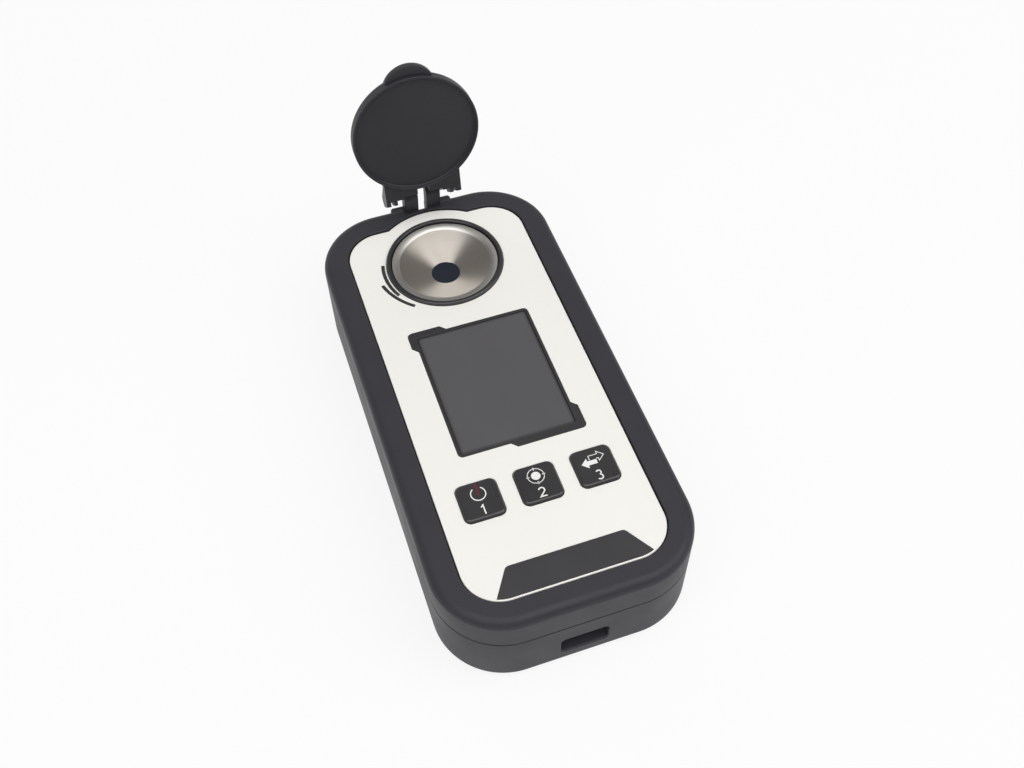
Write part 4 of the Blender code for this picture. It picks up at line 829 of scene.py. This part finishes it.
# Surround ring of the dish. A gloss-black turned and moulded ring that stands a little above the
# white face and clamps the dish down.
RING_INNER = 0.0134
RING_TOP = 0.0253
RING_INNER_ROUND = 0.0003
RING_OUTER_ROUND = 0.0004
profile = [(RING_INNER + inset, RING_TOP - drop) for inset, drop in ease(RING_INNER_ROUND, 4)]
profile += [(RING_OUTER - inset, RING_TOP - drop) for inset, drop in reversed(ease(RING_OUTER_ROUND, 5))]
ring = lathe("dish_collar", profile + [(RING_OUTER, FACE_UNDER), (RING_INNER, FACE_UNDER)])
ring.location = (0, DISH_Y, 0)
mount(ring, "housing", "key_plastic", key_black, "dish_ring")

# Sample dish. Spun and turned stainless steel: a cone with fine turning rings, and a polished
# flange that lies under the ring.
CONE_MOUTH = 0.0113
THROAT = 0.00355
COLLAR = 0.0046
COLLAR_UNDER = 0.0190
FLANGE_EDGE = 0.0131
TURNING_PITCH = 0.00016
dish = lathe("steel_dish", [(CONE_MOUTH, 0.02403), (0.0037, 0.02069), (THROAT, 0.0205),
                            (THROAT, COLLAR_UNDER), (COLLAR, COLLAR_UNDER), (COLLAR, 0.0199),
                            (CONE_MOUTH, FACE_UNDER - GAP)], 160)
flange = lathe("steel_flange", [(CONE_MOUTH, 0.02400), (0.0114, 0.02413), (0.0116, 0.02430),
                                (0.0119, 0.02444), (0.0123, 0.02454), (0.0127, 0.02460),
                                (FLANGE_EDGE, 0.02462), (FLANGE_EDGE, FACE_UNDER),
                                (CONE_MOUTH, FACE_UNDER)], 160)
for steel in (dish, flange):
    steel.location = (0, DISH_Y, 0)
polished_steel = finish("polished_stainless_steel", (0.60, 0.58, 0.56), (0.68, 0.66, 0.63), roughness=0.42,
                        grain=0.0003, relief=0.000001, Metallic=1.0)


def turned_steel():
    """Steel with a warm champagne tint painted into its colour as a reflection of warm room light; its tone
    and height follow the real fine turning rings round the object's own axis.
    """
    # Painted reflection: the warm tint of both tones stands in for warm room light reflected in the steel
    material = finish("turned_stainless_steel", (0.645, 0.603, 0.555), (0.735, 0.690, 0.630),
                      roughness=0.55, grain=0.0003, relief=0.000002, Metallic=1.0, Anisotropic=0.92,
                      Anisotropic_Rotation=0.25)
    nodes, links = tree_of(material)
    around = nodes.new("ShaderNodeTangent")
    around.direction_type = "RADIAL"
    around.axis = "Z"
    place = nodes.new("ShaderNodeTexCoord")
    flat = nodes.new("ShaderNodeVectorMath")
    flat.operation = "MULTIPLY"
    flat.inputs[1].default_value = (1, 1, 0)
    radius = nodes.new("ShaderNodeVectorMath")
    radius.operation = "LENGTH"
    rings = nodes["grains"]
    rings.noise_dimensions = "1D"
    rings.inputs["Scale"].default_value = 1 / TURNING_PITCH
    links.new(around.outputs[0], nodes["Principled BSDF"].inputs["Tangent"])
    links.new(place.outputs["Object"], flat.inputs[0])
    links.new(flat.outputs[0], radius.inputs[0])
    links.new(radius.outputs["Value"], rings.inputs["W"])
    links.new(rings.outputs["Fac"], nodes["tone"].inputs["Factor"])
    return material


mount(dish, "housing", "dish_steel", turned_steel(), "sample_dish")
mount(flange, "housing", "dish_steel", polished_steel)

# Lid. A shallow round cap moulded in the case's plastic, with a thumb tab, a rim round its inner
# face and a skirt whose four ribs turn on the hinge pins. Built closed, then swung open.
LID_TOP = -0.00177
LID_FIELD = -0.00387
LID_EDGE = -0.00477
LID_REACH = 0.0202
LID_RADIUS = 0.01555
LID_LIP = 0.01495
LID_ROUND = 0.0008
LID_OPEN = 97
TAB_REACH = 0.0319
TAB_RADIUS = 0.00645
TAB_LOW, TAB_HIGH = -0.00377, -0.00207
SKIRT_HALF = 0.0097
SKIRT_LOW = -0.00437
SKIRT_ROOT = -0.0105
SKIRT_END = -0.0024
SKIRT_CENTRE_HALF = 0.0050
SKIRT_CENTRE_END = -0.0030
RIB_ROOT = -0.0055
RIB_FOOT = -0.0011
RIB_EYE = 0.0015
OUTER_RIB = (0.0086, SKIRT_HALF)
INNER_RIB = (0.0069, 0.0077)
PIN_HOLE_END = 0.0090
LID_WINDOW_HALF = 0.0015
LID_WINDOW_FAR = -0.0048
LID_WINDOW_CORNER = 0.0003
lid_plastic = finish("satin_charcoal_abs", (0.024, 0.024, 0.030), (0.029, 0.029, 0.036), roughness=0.46,
                     grain=0.0003, relief=0.000006, Specular_IOR_Level=0.36)
rim = ease(EDGE_BREAK, 3)
cap_profile = [(0, LID_TOP)]
cap_profile += [(LID_RADIUS - inset, LID_TOP - drop) for inset, drop in reversed(ease(LID_ROUND, 6))]
cap_profile += [(LID_RADIUS - inset, LID_EDGE + drop) for inset, drop in rim]
cap_profile += [(LID_LIP + inset, LID_EDGE + drop) for inset, drop in reversed(rim)]
cap_profile += [(LID_LIP, LID_FIELD - EDGE_BREAK), (LID_LIP - EDGE_BREAK, LID_FIELD), (0, LID_FIELD)]
lid = lathe("flip_cover", cap_profile, 160)
lid.data.transform(Matrix.Translation((0, -LID_REACH, 0)))
skirt_plan = [(-SKIRT_HALF, SKIRT_ROOT), (SKIRT_HALF, SKIRT_ROOT), (SKIRT_HALF, SKIRT_END),
              (SKIRT_CENTRE_HALF, SKIRT_END), (SKIRT_CENTRE_HALF, SKIRT_CENTRE_END),
              (-SKIRT_CENTRE_HALF, SKIRT_CENTRE_END), (-SKIRT_CENTRE_HALF, SKIRT_END),
              (-SKIRT_HALF, SKIRT_END)]
rib_side = ([(RIB_ROOT, SKIRT_LOW), (RIB_FOOT, SKIRT_LOW)] + arc(0, 0, RIB_EYE, -40, 115, 20)
            + [(RIB_ROOT, LID_TOP)])
ribs = []
for near, far in (OUTER_RIB, INNER_RIB):
    for sign in SIDES:
        left, right = sorted((sign * near, sign * far))
        ribs.append(sideways(straight("rib", rib_side, left, right)))
skirt = cut(straight("skirt", skirt_plan, SKIRT_LOW, LID_TOP - WELD),
            straight("room", round_outline(0, -LID_REACH, LID_RADIUS - GAP, 160)(), LID_EDGE - OVERRUN,
                     LID_TOP + OVERRUN))
tab = eased("tab", round_outline(0, -TAB_REACH, TAB_RADIUS, 96), TAB_LOW, TAB_HIGH, top=0.0004,
            bottom=0.0003)
join(lid, skirt, tab, *ribs)
cut(lid,
    straight("window", rounded(-LID_WINDOW_HALF, LID_WINDOW_HALF, LID_WINDOW_FAR, 0, LID_WINDOW_CORNER, 5),
             LID_EDGE - OVERRUN, 0),
    *[cylinder("pin_hole", PIN_BORE, (sign * LUG_OUTER, 0, 0), (sign * PIN_HOLE_END, 0, 0), 24)
      for sign in SIDES])
to_hinge = Matrix.Translation((0, HINGE_Y, HINGE_Z))
lid.data.transform(to_hinge @ Matrix.Rotation(math.radians(-LID_OPEN), 4, "X"))
mount(lid, "flip_lid", "lid_plastic", lid_plastic, "lid")

# Hinge pins. Two short stubs of ground steel wire, one pressed into each lug; the lid's ribs turn
# on their free ends.
PIN_RADIUS = 0.0006
PIN_INNER = 0.0023
PIN_OUTER = 0.0087
for side, sign in (("left", -1), ("right", 1)):
    pin = cylinder("stub_pin_" + side, PIN_RADIUS, (sign * PIN_INNER, HINGE_Y, HINGE_Z),
                   (sign * PIN_OUTER, HINGE_Y, HINGE_Z), 32)
    mount(pin, "housing", "screw_steel", screw_steel, "hinge_pin_" + side)

# Inside the case. The pieces that can't be seen from outside keep their engineered shapes; each
# has the finish of its own material, from solder mask and moulded epoxy to rubber and nickel.
# Dark tone, light tone, roughness, grain and relief, then the pieces that share them
INSIDE = (
    ((0.010, 0.085, 0.035), (0.016, 0.120, 0.050), 0.40, 0.0012, 0.000010, ("main_board", "sensor_board")),
    ((0.013, 0.013, 0.015), (0.019, 0.019, 0.021), 0.50, 0.0002, 0.000006,
     ("controller_chip", "image_sensor", "thermistor", "power_switch", "zero_switch", "mode_switch")),
    ((0.72, 0.75, 0.77), (0.78, 0.80, 0.82), 0.50, 0.0004, 0.000003,
     ("backlight", "power_plunger", "zero_plunger", "mode_plunger")),
    ((0.090, 0.090, 0.095), (0.105, 0.105, 0.110), 0.16, 0.0006, 0.000001, ("display_glass",)),
    ((0.016, 0.019, 0.028), (0.022, 0.026, 0.038), 0.12, 0.0008, 0.0000005, ("prism", "lens")),
    ((0.018, 0.018, 0.018), (0.024, 0.024, 0.024), 0.80, 0.0003, 0.000008,
     ("case_seal", "door_gasket", "prism_seal")),
    ((0.28, 0.28, 0.29), (0.33, 0.33, 0.34), 0.70, 0.0003, 0.000005,
     ("contact_strip_front", "contact_strip_rear")),
    ((0.80, 0.50, 0.10), (0.88, 0.58, 0.14), 0.10, 0.0006, 0.000001, ("lamp_led",)),
    ((0.035, 0.045, 0.055), (0.045, 0.055, 0.065), 0.35, 0.0006, 0.000003, ("battery",)),
    ((0.40, 0.19, 0.025), (0.48, 0.24, 0.035), 0.40, 0.0005, 0.000003, ("flex_cable",)),
)


def coat(names, look):
    """Gives some CAD pieces that stay as they are their finish."""
    for node in names:
        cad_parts[node].data.materials.clear()
        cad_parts[node].data.materials.append(look)


for dark, light, roughness, grain, relief, names in INSIDE:
    coat(names, finish(names[0] + "_finish", dark, light, roughness, grain, relief))
nickel = finish("bright_nickel", (0.62, 0.58, 0.50), (0.70, 0.66, 0.58), roughness=0.25, grain=0.0001,
                relief=0.000002, Metallic=1.0)
coat(("battery_plus_contact", "battery_minus_contact", "battery_spring"), nickel)
coat(("optics_block",), case_plastic)
coat([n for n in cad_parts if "board_screw" in n or "optics_screw" in n], screw_steel)

# The finished model's box, the table left out.
low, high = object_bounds()
